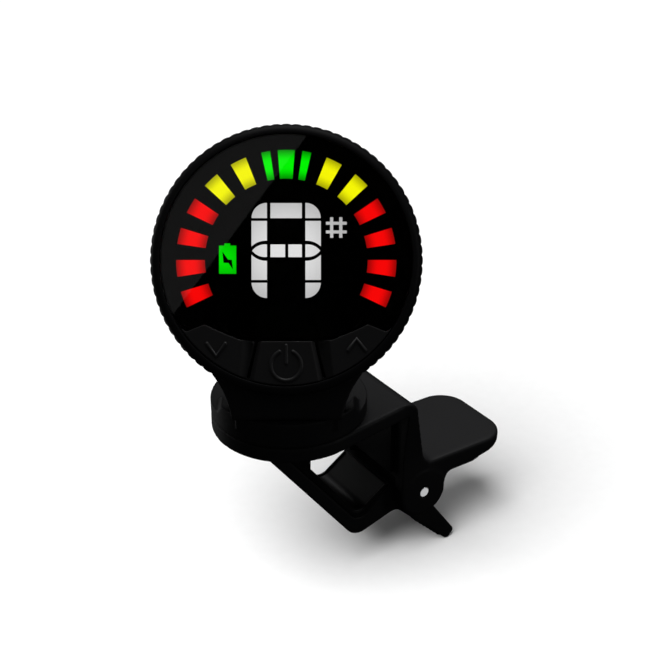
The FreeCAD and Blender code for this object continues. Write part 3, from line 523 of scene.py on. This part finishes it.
# %% [markdown]
# ## Swivel disc
# The upper disc carries the raised front wall that the foot of the neck rests on, and the two
# ears of the tilt hinge. Its rounded lower edge meets the lower disc's, and between them runs the
# fine seam line.

# %% Swivel disc
disc = rounded("swivel_disc_moulding", "swivel_disc", SWIVEL, 0.19, 3)
finish(disc, SWIVEL, nylon, "swivel", ["swivel_disc"])

# %% [markdown]
# ## Shell and neck
# The shell of the head and the flared neck are one moulding. Its grip band is a shape that
# follows a rule, so the band is made on its own below, and here the CAD band's scallops are
# pressed in to leave room for it.

# %% Shell of the head
BAND_BED, BAND_LIMIT = 19.7, 20.8
BAND_BACK, BAND_BACK_AT_NECK = -5.3, -3.9
NECK_HALF_WIDTH = 12.0


def without_scallops(places):
    """Points of the grip band move in under the new band."""
    radius = np.hypot(places[:, 0], places[:, 1])
    in_neck = (np.abs(places[:, 0]) < NECK_HALF_WIDTH) & (places[:, 1] < 0)
    back = np.where(in_neck, BAND_BACK_AT_NECK, BAND_BACK)
    chosen = (radius > BAND_BED) & (radius < BAND_LIMIT) & (places[:, 2] > back)
    places[chosen, :2] *= (BAND_BED / radius[chosen])[:, None]
    return places


shell = rounded("head_shell_moulding", "rear_housing", HEAD, 0.2, 3)
reshape(shell, without_scallops)
finish(shell, HEAD, nylon, "head", ["rear_housing"])

# %% [markdown]
# ## Grip band
# Eighty shallow lobes run round the rim, so that the head can be turned with two fingers. A
# Geometry Nodes tree bends a grid into a closed ring: one direction of the grid goes round the
# head, the other goes round the band's section. The lobes are a rule, the size of a cosine, so
# their number and depth stay inputs that anyone can change. The section is a circle drawn out
# towards a square by a power below one.

# %% Geometry Nodes helpers
def new_tree(name, sizes):
    """An empty tree with the given named inputs and a material input."""
    tree = bpy.data.node_groups.new(name, "GeometryNodeTree")
    for size in sizes:
        tree.interface.new_socket(size, in_out="INPUT", socket_type="NodeSocketFloat")
    tree.interface.new_socket("Material", in_out="INPUT", socket_type="NodeSocketMaterial")
    tree.interface.new_socket("Geometry", in_out="OUTPUT", socket_type="NodeSocketGeometry")
    return tree, add(tree, "NodeGroupInput").outputs


def end_tree(tree, geometry, material):
    """Realize Instances, Set Material and the output."""
    real = add(tree, "GeometryNodeRealizeInstances", Geometry=geometry)
    painted = add(tree, "GeometryNodeSetMaterial", Geometry=real, Material=material)
    add(tree, "NodeGroupOutput", Geometry=painted)


def grown(name, tree, material, **sizes):
    """A plain mesh object from a tree and its sizes."""
    obj = to_object(name, bpy.data.meshes.new(name))
    modifier = obj.modifiers.new("grow", "NODES")
    modifier.node_group = tree
    wanted = {size.replace("_", " "): value for size, value in sizes.items()}
    wanted["Material"] = material
    for item in tree.interface.items_tree:
        if item.in_out == "INPUT":
            modifier[item.identifier] = wanted[item.name]
    obj.data = flattened(obj)
    return obj


# %% The grip band's tree
STEPS_PER_LOBE, SECTION_POINTS = 12.0, 29
SQUARENESS, VALLEY_SHARPNESS = 0.3, 1.6


def grip_band_tree():
    """A closed ring with round lobes on its outside."""
    names = ("Inner radius", "Crest radius", "Lobe depth", "Lobes", "Back", "Front")
    tree, size = new_tree("scalloped_grip_band", names)
    steps = add(tree, MATH, "MULTIPLY_ADD", size["Lobes"], STEPS_PER_LOBE, 1.0)
    counts = {"Vertices_Y": SECTION_POINTS, "Vertices_X": steps}
    grid = add(tree, "GeometryNodeMeshGrid", Size_X=1.0, Size_Y=1.0, **counts)
    spot = add(tree, "ShaderNodeSeparateXYZ", Vector=add(tree, "GeometryNodeInputPosition"))
    round_head = add(tree, MATH, "MULTIPLY", spot.outputs[0], 2 * math.pi)
    round_section = add(tree, MATH, "MULTIPLY", spot.outputs[1], 2 * math.pi)

    def squared(operation):
        """A cosine or sine drawn out towards a square, for the section's flat sides."""
        wave = add(tree, MATH, operation, round_section)
        size_of = add(tree, MATH, "POWER", add(tree, MATH, "ABSOLUTE", wave), SQUARENESS)
        return add(tree, MATH, "MULTIPLY", add(tree, MATH, "SIGN", wave), size_of)

    outward, along = squared("COSINE"), squared("SINE")
    both = add(tree, MATH, "ADD", size["Back"], size["Front"])
    middle = add(tree, MATH, "MULTIPLY", both, 0.5)
    width = add(tree, MATH, "SUBTRACT", size["Front"], size["Back"])
    half = add(tree, MATH, "MULTIPLY", width, 0.5)
    level = add(tree, MATH, "MULTIPLY_ADD", along, half, middle)
    whole_phase = add(tree, MATH, "MULTIPLY", round_head, size["Lobes"])
    phase = add(tree, MATH, "MULTIPLY", whole_phase, 0.5)
    crest = add(tree, MATH, "ABSOLUTE", add(tree, MATH, "COSINE", phase))
    valley = add(tree, MATH, "SUBTRACT", 1.0, crest)
    dip = add(tree, MATH, "POWER", valley, VALLEY_SHARPNESS)
    dip = add(tree, MATH, "MULTIPLY", dip, size["Lobe depth"])
    outside = add(tree, MATH, "GREATER_THAN", outward, 0.0)
    outer_dip = add(tree, MATH, "MULTIPLY", dip, outside)
    rim = add(tree, MATH, "SUBTRACT", size["Crest radius"], outer_dip)
    share = add(tree, MATH, "MULTIPLY_ADD", outward, 0.5, 0.5)
    depth = add(tree, MATH, "SUBTRACT", rim, size["Inner radius"])
    reach = add(tree, MATH, "MULTIPLY", depth, share)
    radius = add(tree, MATH, "ADD", size["Inner radius"], reach)
    x = add(tree, MATH, "MULTIPLY", radius, add(tree, MATH, "COSINE", round_head))
    y = add(tree, MATH, "MULTIPLY", radius, add(tree, MATH, "SINE", round_head))
    place = add(tree, "ShaderNodeCombineXYZ", X=x, Y=y, Z=level)
    bent = add(tree, "GeometryNodeSetPosition", Geometry=grid, Position=place)
    closed = add(tree, "GeometryNodeMergeByDistance", Geometry=bent, Distance=0.002)
    end_tree(tree, closed, size["Material"])
    return tree


band = grown(
    "grip_band",
    grip_band_tree(),
    nylon,
    Inner_radius=19.3,
    Crest_radius=20.47,
    Lobe_depth=0.18,
    Lobes=80.0,
    Back=-4.98,
    Front=-1.30,
)
finish(band, HEAD, nylon, "head")

# %% [markdown]
# ## Front ring
# A smooth ring frames the window. It is turned: its section is drawn once, with a soft outer
# shoulder, and carried round the centre. A lathe shape like this is quicker and cleaner as a
# plain loop of rings than as a remeshed solid.

# %% Front ring
def turned(name, section, steps):
    """A closed section of (radius, level) pairs carried round the Z axis."""
    count = len(section)
    places = []
    for step in range(steps):
        angle = 2 * math.pi * step / steps
        places += [(r * math.cos(angle), r * math.sin(angle), z) for r, z in section]
    faces = []
    for step in range(steps):
        here, ahead = step * count, (step + 1) % steps * count
        for index in range(count):
            beside = (index + 1) % count
            faces.append((here + index, ahead + index, ahead + beside, here + beside))
    mesh = bpy.data.meshes.new(name)
    mesh.from_pydata(places, [], faces)
    return to_object(name, mesh)


RING_SECTION = [
    (18.86, -1.54), (18.83, -0.60), (18.83, 0.08), (18.86, 0.12),
    (18.98, 0.14), (19.18, 0.12), (19.40, 0.06), (19.62, -0.05),
    (19.82, -0.19), (19.99, -0.37), (20.12, -0.59), (20.20, -0.84),
    (20.25, -1.10), (20.26, -1.38), (20.26, -1.60), (19.60, -1.62),
]
RING_STEPS = 256
ring = turned("front_ring", RING_SECTION, RING_STEPS)
finish(ring, HEAD, ring_nylon, "head", ["front_bezel"], sharp=50)

# %% [markdown]
# ## Keys
# Three rubber keys fill the foot of the window. Where two keys meet, both fall away in a slanted
# flank, so a valley runs between them and a finger finds its way without looking. The rounded CAD
# key is the start, and its points near a flank are lowered by how far they lie from the flank's
# top edge.

# %% Key caps with their flanks
KEY_TOP, FLANK_FOOT = 0.1, -0.75
KEY_VOXEL = 0.09
POWER_EDGE = ((3.62, -11.95), (4.80, -17.90))
SIDE_EDGE = ((6.45, -11.95), (7.05, -17.20))


def flank(edge, side, inwards, run, drop):
    """A move that lowers the points beyond an edge line, by drop over a run, in mm.

    side mirrors the line to the left of the head, and inwards is 1 where the key lies on the
    line's inner side and -1 where it lies outside it.
    """
    (x0, y0), (x1, y1) = edge
    length = math.hypot(x1 - x0, y1 - y0)

    def move(places):
        across = (places[:, 0] * side - x0) * (y1 - y0) - (places[:, 1] - y0) * (x1 - x0)
        beyond = np.clip(-inwards * across / length / run, 0, 1)
        upper = np.clip((places[:, 2] - FLANK_FOOT) / (KEY_TOP - FLANK_FOOT), 0, 1)
        places[:, 2] -= drop * beyond * upper
        return places

    return move


power = rounded("power_key_cap", "power_key", HEAD, KEY_VOXEL, 3)
for side in (1, -1):
    reshape(power, flank(POWER_EDGE, side, inwards=1, run=0.85, drop=1.0))
finish(power, HEAD, key_rubber, "power_key_body", ["power_key"])
for key_name, side in (("down_key", -1), ("up_key", 1)):
    cap = rounded(f"{key_name}_cap", key_name, HEAD, KEY_VOXEL, 3)
    reshape(cap, flank(SIDE_EDGE, side, inwards=-1, run=1.5, drop=0.9))
    finish(cap, HEAD, key_rubber, f"{key_name}_body", [key_name])

# %% [markdown]
# ## Symbols on the keys
# Two arrows and a power sign are moulded into the rubber as low round ridges. Each is a path with
# a round section, sunk until only its top stands above the key. A curve with a bevel gives that
# section and its round ends. Their rubber is painted lighter than the key's, as a painted highlight
# where the ridges catch the light.

# %% Ridges of the key symbols
RIDGE_LEVEL = KEY_TOP - 0.13
SIGN_WIDTH, ARROW_WIDTH = 0.64, 0.66


def ridge(name, paths, width, body):
    """Round ridges on a key along open paths of (x, y) points in mm."""
    flat = [[(x, y, RIDGE_LEVEL) for x, y in path] for path in paths]
    return tubes(name, flat, width, HEAD, symbol_rubber_painted_highlight, body)


def arc_path(x, y, radius, start, end, steps=40):
    """Points along an arc; angles in degrees from straight up, clockwise."""
    angles = [math.radians(start + (end - start) * k / steps) for k in range(steps + 1)]
    return [(x + radius * math.sin(a), y + radius * math.cos(a)) for a in angles]


power_strokes = [arc_path(0, -15.66, 2.26, 26, 334), [(0, -12.75), (0, -15.30)]]
down_stroke = [(-11.75, -12.45), (-10.39, -14.33), (-9.05, -12.45)]
up_stroke = [(9.2, -13.4), (10.47, -11.75), (11.75, -13.4)]
ridge("power_sign", power_strokes, SIGN_WIDTH, "power_key_body")
ridge("down_arrow", [down_stroke], ARROW_WIDTH, "down_key_body")
ridge("up_arrow", [up_stroke], ARROW_WIDTH, "up_key_body")

# %% [markdown]
# ## Tuning meter
# Fifteen bars fan out over the top of the display: green for in tune, yellow for near, red for
# far. Each bar is a small piece of a ring, so one Geometry Nodes tree makes it from two angles
# and two radii. The bars of one colour are then joined, because they are printed and lit
# together. Angles are in degrees from straight up, clockwise. Only the middle and the right side
# are listed, and the left side is their mirror.

# %% Bars of the meter
def meter_bar_tree():
    """A thin plate between two angles and two radii."""
    names = ("From angle", "To angle", "Inner radius", "Outer radius", "Level")
    tree, size = new_tree("meter_bar", names)
    grid = add(tree, "GeometryNodeMeshGrid", Size_X=1.0, Size_Y=1.0, Vertices_X=9, Vertices_Y=9)
    spot = add(tree, "ShaderNodeSeparateXYZ", Vector=add(tree, "GeometryNodeInputPosition"))
    turn = add(tree, MATH, "ADD", spot.outputs[0], 0.5)
    swing = add(tree, MATH, "SUBTRACT", size["To angle"], size["From angle"])
    angle = add(tree, MATH, "MULTIPLY_ADD", turn, swing, size["From angle"])
    out = add(tree, MATH, "ADD", spot.outputs[1], 0.5)
    spread = add(tree, MATH, "SUBTRACT", size["Outer radius"], size["Inner radius"])
    radius = add(tree, MATH, "MULTIPLY_ADD", out, spread, size["Inner radius"])
    x = add(tree, MATH, "MULTIPLY", radius, add(tree, MATH, "SINE", angle))
    y = add(tree, MATH, "MULTIPLY", radius, add(tree, MATH, "COSINE", angle))
    place = add(tree, "ShaderNodeCombineXYZ", X=x, Y=y, Z=size["Level"])
    bent = add(tree, "GeometryNodeSetPosition", Geometry=grid, Position=place)
    depth = {"Offset_Scale": CELL_THICKNESS, "Individual": False}
    thick = add(tree, "GeometryNodeExtrudeMesh", Mesh=bent, **depth)
    end_tree(tree, thick, size["Material"])
    return tree


METER = {
    "meter_bars_green": (green_cell, [(-4.6, 4.6), (8.3, 13.3)]),
    "meter_bars_yellow": (yellow_cell, [(21.4, 30.4), (38.7, 47.7)]),
    "meter_bars_red": (red_cell, [(55.8, 64.7), (72.8, 81.7), (89.8, 98.9), (106.6, 115.6)]),
}
BAR_INNER, BAR_OUTER, BAR_INSET = 12.14, 16.43, 0.15
bar_tree = meter_bar_tree()


def joined(name, parts):
    """Several mesh objects as one."""
    bm = bmesh.new()
    for part in parts:
        bm.from_mesh(part.data)
        bpy.data.objects.remove(part)
    mesh = bpy.data.meshes.new(name)
    bm.to_mesh(mesh)
    bm.free()
    return to_object(name, mesh)


for bars_name, (colour, spans) in METER.items():
    both_sides = spans + [(-end, -start) for start, end in spans if start > 0]
    bars = [
        grown(
            "meter_bar",
            bar_tree,
            colour,
            From_angle=math.radians(start + BAR_INSET),
            To_angle=math.radians(end - BAR_INSET),
            Inner_radius=BAR_INNER,
            Outer_radius=BAR_OUTER,
            Level=CELL_LEVEL,
        )
        for start, end in both_sides
    ]
    finish(joined(bars_name, bars), HEAD, colour, "head", sharp=30)

# %% [markdown]
# ## Black print behind the window
# Behind the window lies a black mask that hides the edge of the display panel and the board. It
# has the window's own outline, so it is a copy of the window pressed flat between two levels. The
# cells lie on it, so it needs no holes.

# %% Black print
PRINT_LEVELS = (-1.295, -1.245)


def pressed(places):
    """Presses a sheet between the two levels of the print."""
    low, high = places[:, 2].min(), places[:, 2].max()
    share = (places[:, 2] - low) / (high - low)
    places[:, 2] = PRINT_LEVELS[0] + share * (PRINT_LEVELS[1] - PRINT_LEVELS[0])
    return places


black_print = to_object("black_window_print", merged_copy("display_lens", HEAD))
reshape(black_print, pressed)
finish(black_print, HEAD, display_black, "head", sharp=30)

# %% [markdown]
# ## Note letter, sharp sign and battery sign
# The note is shown by a field of cells whose lit ones form a letter, with a sharp sign beside it
# and a battery sign opposite. They are plain printed shapes, so each cell is an outline filled
# and given a hair of thickness. The left side of the letter is drawn and the right side is its
# mirror. A gap of about 0.4 mm parts the cells.

# %% Cells of the display
def plate(bm, points, low, high):
    """A filled outline between two levels."""
    bottom = [bm.verts.new((x, y, low)) for x, y in points]
    top = [bm.verts.new((x, y, high)) for x, y in points]
    bm.faces.new(bottom)
    bm.faces.new(top)
    for index in range(len(points)):
        beside = (index + 1) % len(points)
        bm.faces.new((bottom[index], bottom[beside], top[beside], top[index]))


def box_points(x0, x1, y0, y1):
    """The corners of an upright rectangle."""
    return [(x0, y0), (x1, y0), (x1, y1), (x0, y1)]


def bow(start, end, bulge, steps=10):
    """Points from start to end along a shallow bow; bulge is its height, to the left of the way."""
    (x0, y0), (x1, y1) = start, end
    length = math.hypot(x1 - x0, y1 - y0)
    left_x, left_y = -(y1 - y0) / length, (x1 - x0) / length
    shares = [k / steps for k in range(steps + 1)]
    rise = [4 * bulge * s * (1 - s) for s in shares]
    return [
        (x0 + (x1 - x0) * s + left_x * h, y0 + (y1 - y0) * s + left_y * h)
        for s, h in zip(shares, rise)
    ]


def corner_arc(x, y, radius, start, steps=10):
    """A quarter circle round (x, y), from the start angle in degrees, anticlockwise."""
    angles = [math.radians(start + 90 / steps * k) for k in range(steps + 1)]
    return [(x + radius * math.cos(a), y + radius * math.sin(a)) for a in angles]


OUT, IN, TURN = -5.19, -2.88, 2.27
BEND, END_BEND = 0.26, -0.32
end_tip = (OUT + 0.09, 1.40)
corner_cell = [(IN, 8.50)] + corner_arc(IN - 0.02, 6.26, TURN, 90) + [(IN, 6.26)]
upper_cell = [(IN, 5.84), (OUT, 5.84)] + bow((OUT, 2.03), (IN, 2.89), BEND)
end_cell = bow((IN, 2.33), end_tip, END_BEND)[:-1] + bow(end_tip, (IN, 0.47), END_BEND)
lower_cell = bow((IN, -0.11), (OUT, 0.80), BEND) + [(OUT, -2.96), (IN, -2.96)]
foot_cell = [(IN, -3.38), (OUT, -3.38)]
foot_cell += corner_arc(IN - 0.02, -3.38, TURN, 180)[1:] + [(IN, -5.65)]
left_cells = [corner_cell, upper_cell, end_cell, lower_cell, foot_cell]
right_cells = [[(-x - 0.03, y) for x, y in reversed(cell)] for cell in left_cells]
middle_cells = [
    box_points(-2.36, 2.33, 6.25, 8.50),
    box_points(-2.36, -0.17, 0.44, 2.33),
    box_points(0.31, 2.33, 0.44, 2.33),
]
SHARP_STROKE = 0.45
sharp_cells = [box_points(6.54, 7.01, 3.32, 6.38), box_points(7.89, 8.37, 3.32, 6.38)]
for row in (3.97, 5.27):
    for left, right in ((5.92, 6.54), (7.01, 7.89), (8.37, 9.02)):
        sharp_cells.append(box_points(left, right, row, row + SHARP_STROKE))
battery_outline = [(-10.03, -2.04), (-7.46, -2.04), (-7.46, 2.16), (-8.36, 2.16)]
battery_outline += [(-8.36, 2.49), (-9.23, 2.49), (-9.23, 2.16), (-10.03, 2.16)]
bolt = [(-9.53, 1.27), (-8.68, 0.07), (-8.12, 0.04), (-7.97, -1.37), (-8.63, -0.44), (-9.37, -0.39)]
print("cells of the letter:", len(left_cells + right_cells + middle_cells))

# %% Letter, sharp sign and battery sign
BOLT_LIFT, BOLT_THICKNESS = 0.004, 0.01
CELL_JOIN_DISTANCE = 0.0004


def display_piece(name, cells, material, low=CELL_LEVEL, high=CELL_TOP):
    """Filled cells in the display, joined where they meet."""
    bm = bmesh.new()
    for cell in cells:
        plate(bm, cell, low, high)
    bmesh.ops.remove_doubles(bm, verts=bm.verts, dist=CELL_JOIN_DISTANCE)
    mesh = bpy.data.meshes.new(name)
    bm.to_mesh(mesh)
    bm.free()
    return finish(to_object(name, mesh), HEAD, material, "head", sharp=30)


display_piece("note_letter", left_cells + right_cells + middle_cells, white_cell)
display_piece("sharp_sign", sharp_cells, white_cell)
display_piece("battery_sign", [battery_outline], charge_cell)
bolt_level = CELL_TOP + BOLT_LIFT
display_piece("charge_bolt", [bolt], display_black, bolt_level, bolt_level + BOLT_THICKNESS)

# %% [markdown]
# ## Camera and floor
# The camera looks down on the tuner from its left front. The floor is a plain sheet of pale paper
# just under the lowest lever. It takes shadows but shows in no reflection and no refraction,
# because its white would lift the blacks of the nylon and fill the window with haze.

# %% Camera
camera_data = bpy.data.cameras.new("product_camera")
camera_data.lens = 69.77
camera_data.sensor_width = 36.0
camera_data.clip_start = 0.01
camera = to_object("product_camera", camera_data)
camera.location = (-0.09089, -0.14755, 0.10848)
camera.rotation_euler = Euler([math.radians(a) for a in (62.56, 0.0, -33.42)])
bpy.context.scene.camera = camera
print("camera distance:", round(camera.location.length, 3), "m")

# %% Floor
FLOOR_REACH, FLOOR_GAP = 4.0, 0.0002


def pale_floor():
    """Matt white paper with a fibre of about 2 mm, drawn coarse so that it can show at all."""
    material, tree, shader = new_material("pale_studio_paper")
    place = add(tree, "ShaderNodeTexCoord").outputs["Object"]
    fibre = add(tree, NOISE, Vector=place, Scale=1000 / 2.0, Detail=2.0)
    colour = add(tree, RAMP, Fac=fibre)
    paint(colour, "#f6f6f6", "#fafafa")
    fill(tree, shader, Base_Color=colour, Roughness=0.9, Specular_IOR_Level=0.1)
    return material


floor_mesh = bpy.data.meshes.new("floor")
level = CAD_BOX[0][2] - FLOOR_GAP
floor_corners = box_points(-FLOOR_REACH, FLOOR_REACH, -FLOOR_REACH, FLOOR_REACH)
floor_mesh.from_pydata([(x, y, level) for x, y in floor_corners], [], [(0, 1, 2, 3)])
floor_mesh.materials.append(pale_floor())
floor = to_object("floor", floor_mesh)
floor.visible_glossy = False
floor.visible_diffuse = False
floor.visible_transmission = False
print("floor level:", round(level, 4))

# %% [markdown]
# ## Lights
# Dull black needs little light and a white floor needs much, so each has a sun of its own.
# Blender's light linking lets a lamp shine on some objects only: the floor's sun stands behind
# the camera's left shoulder and throws the soft shadow, and the top sun comes from above and
# behind, so the tops are light and the fronts stay in deep shade. Two upright strips draw thin
# lines along the sides, and a small low lamp opens the shade low on the clip. Places are given
# from the object, in the camera's directions: to its right, away from it, and up.

# %% Light helpers
HEADING = math.radians(33.4)
right_of_camera = Vector((math.cos(HEADING), -math.sin(HEADING), 0))
away = Vector((math.sin(HEADING), math.cos(HEADING), 0))
MIDDLE = (0, 0, 0)


def light(name, kind, energy, place, aim, **settings):
    """A light at place that shines towards aim."""
    data = bpy.data.lights.new(name, kind)
    data.energy = energy
    for setting, value in settings.items():
        setattr(data, setting, value)
    obj = to_object(name, data)
    obj.location = place
    obj.rotation_euler = (Vector(aim) - Vector(place)).to_track_quat("-Z", "Y").to_euler()
    obj.visible_camera = False
    print(f"{name}: energy {energy}")
    return obj


def studio(right, back, up):
    """A place given to the right of, away from and above the object, in metres."""
    return right * right_of_camera + back * away + Vector((0, 0, up))


def shines_on(lamp, obj, state):
    """Keeps a light to one object, or keeps it off that object."""
    receivers = bpy.data.collections.new(f"{lamp.name}_receivers")
    receivers.objects.link(obj)
    receivers.collection_objects[0].light_linking.link_state = state
    lamp.light_linking.receiver_collection = receivers


# %% Suns, strips and low lamp
broad, broader = math.radians(42), math.radians(50)
floor_sun = light("floor_sun", "SUN", 3.9, studio(-0.42, -0.55, 1.0), MIDDLE, angle=broad)
shines_on(floor_sun, floor, "INCLUDE")
top_sun = light("top_sun", "SUN", 2.0, studio(0.05, 0.32, 1.0), MIDDLE, angle=broader)
shines_on(top_sun, floor, "EXCLUDE")
strip = {"shape": "RECTANGLE", "size": 0.10, "size_y": 0.3}
light("right_strip", "AREA", 0.16, studio(0.42, -0.08, 0.12), MIDDLE, **strip)
light("left_strip", "AREA", 0.22, studio(-0.32, 0.20, 0.05), MIDDLE, **strip)
small = {"shape": "SQUARE", "size": 0.04}
light("low_bounce", "AREA", 0.0022, studio(-0.065, 0.035, -0.024), MIDDLE, **small)

# %% [markdown]
# ## Cards
# Polished things show what they mirror. The flat end of the jaw pin faces along Y, so a sight
# line that meets it bounces off with its Y turned round, and a small card stands there and lights
# the pin alone. The window mirrors a large card, whose edge is the slanted edge of the sheen. Two
# sight lines, through the two ends of that edge on the window, are bounced off the window's face
# to find where the card's edge has to be.

# %% Card for the pin
PIN_END = -8.2
PIN_CARD_DISTANCE, PIN_CARD_SIZE = 0.022, 0.016
pin_end = on_pin(PIN_END)
sight = (pin_end - camera.location).normalized()
bounced = Vector((sight.x, -sight.y, sight.z))
pin_card_place = pin_end + PIN_CARD_DISTANCE * bounced
square = {"shape": "SQUARE", "size": PIN_CARD_SIZE}
pin_card = light("pin_card", "AREA", 0.00052, pin_card_place, pin_end, **square)
shines_on(pin_card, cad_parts["jaw_pin"], "INCLUDE")

# %% Card for the window's sheen
normal = (HEAD.to_3x3() @ Vector((0, 0, 1))).normalized()
CARD_DISTANCE, CARD_WIDTH, CARD_LENGTH = 0.30, 0.16, 0.30
SHEEN_TOP, SHEEN_FOOT, IN_SHEEN = (2.97, 18.33), (-16.92, -8.24), (-12.0, 12.0)


def on_card(x, y):
    """Where the sight line that meets the window at (x, y) mm strikes the card's plane."""
    met = HEAD @ Vector((x, y, 0))
    way_in = (met - camera.location).normalized()
    way_out = way_in - 2 * way_in.dot(normal) * normal
    return met + way_out * (CARD_DISTANCE / way_out.dot(normal))


edge_top, edge_foot = on_card(*SHEEN_TOP), on_card(*SHEEN_FOOT)
edge_way = (edge_top - edge_foot).normalized()
sheen_side = on_card(*IN_SHEEN) - edge_foot
sheen_side = (sheen_side - sheen_side.dot(edge_way) * edge_way).normalized()
card_centre = (edge_top + edge_foot) / 2 + sheen_side * CARD_WIDTH / 2
card_shape = {"shape": "RECTANGLE", "size": CARD_WIDTH, "size_y": CARD_LENGTH}
card = light("sheen_card", "AREA", 0.0145, card_centre, card_centre - normal, **card_shape)
card.rotation_euler = Matrix((sheen_side, normal.cross(sheen_side), normal)).transposed().to_euler()
print("card centre:", [round(v, 3) for v in card_centre])

# %% [markdown]
# ## Room light
# A faint even light from all round keeps the deepest shade from going quite black. It shows in no
# reflection, so it puts no grey veil on the window. The Standard view shows white as white.

# %% Room light
world = bpy.data.worlds.new("studio")
world.use_nodes = True
background = world.node_tree.nodes["Background"].inputs
background["Color"].default_value = rgb("#ffffff")
background["Strength"].default_value = 0.10
world.cycles_visibility.glossy = False
world.cycles_visibility.transmission = False
bpy.context.scene.world = world
bpy.context.scene.view_settings.view_transform = "Standard"
print("room light:", background["Strength"].default_value)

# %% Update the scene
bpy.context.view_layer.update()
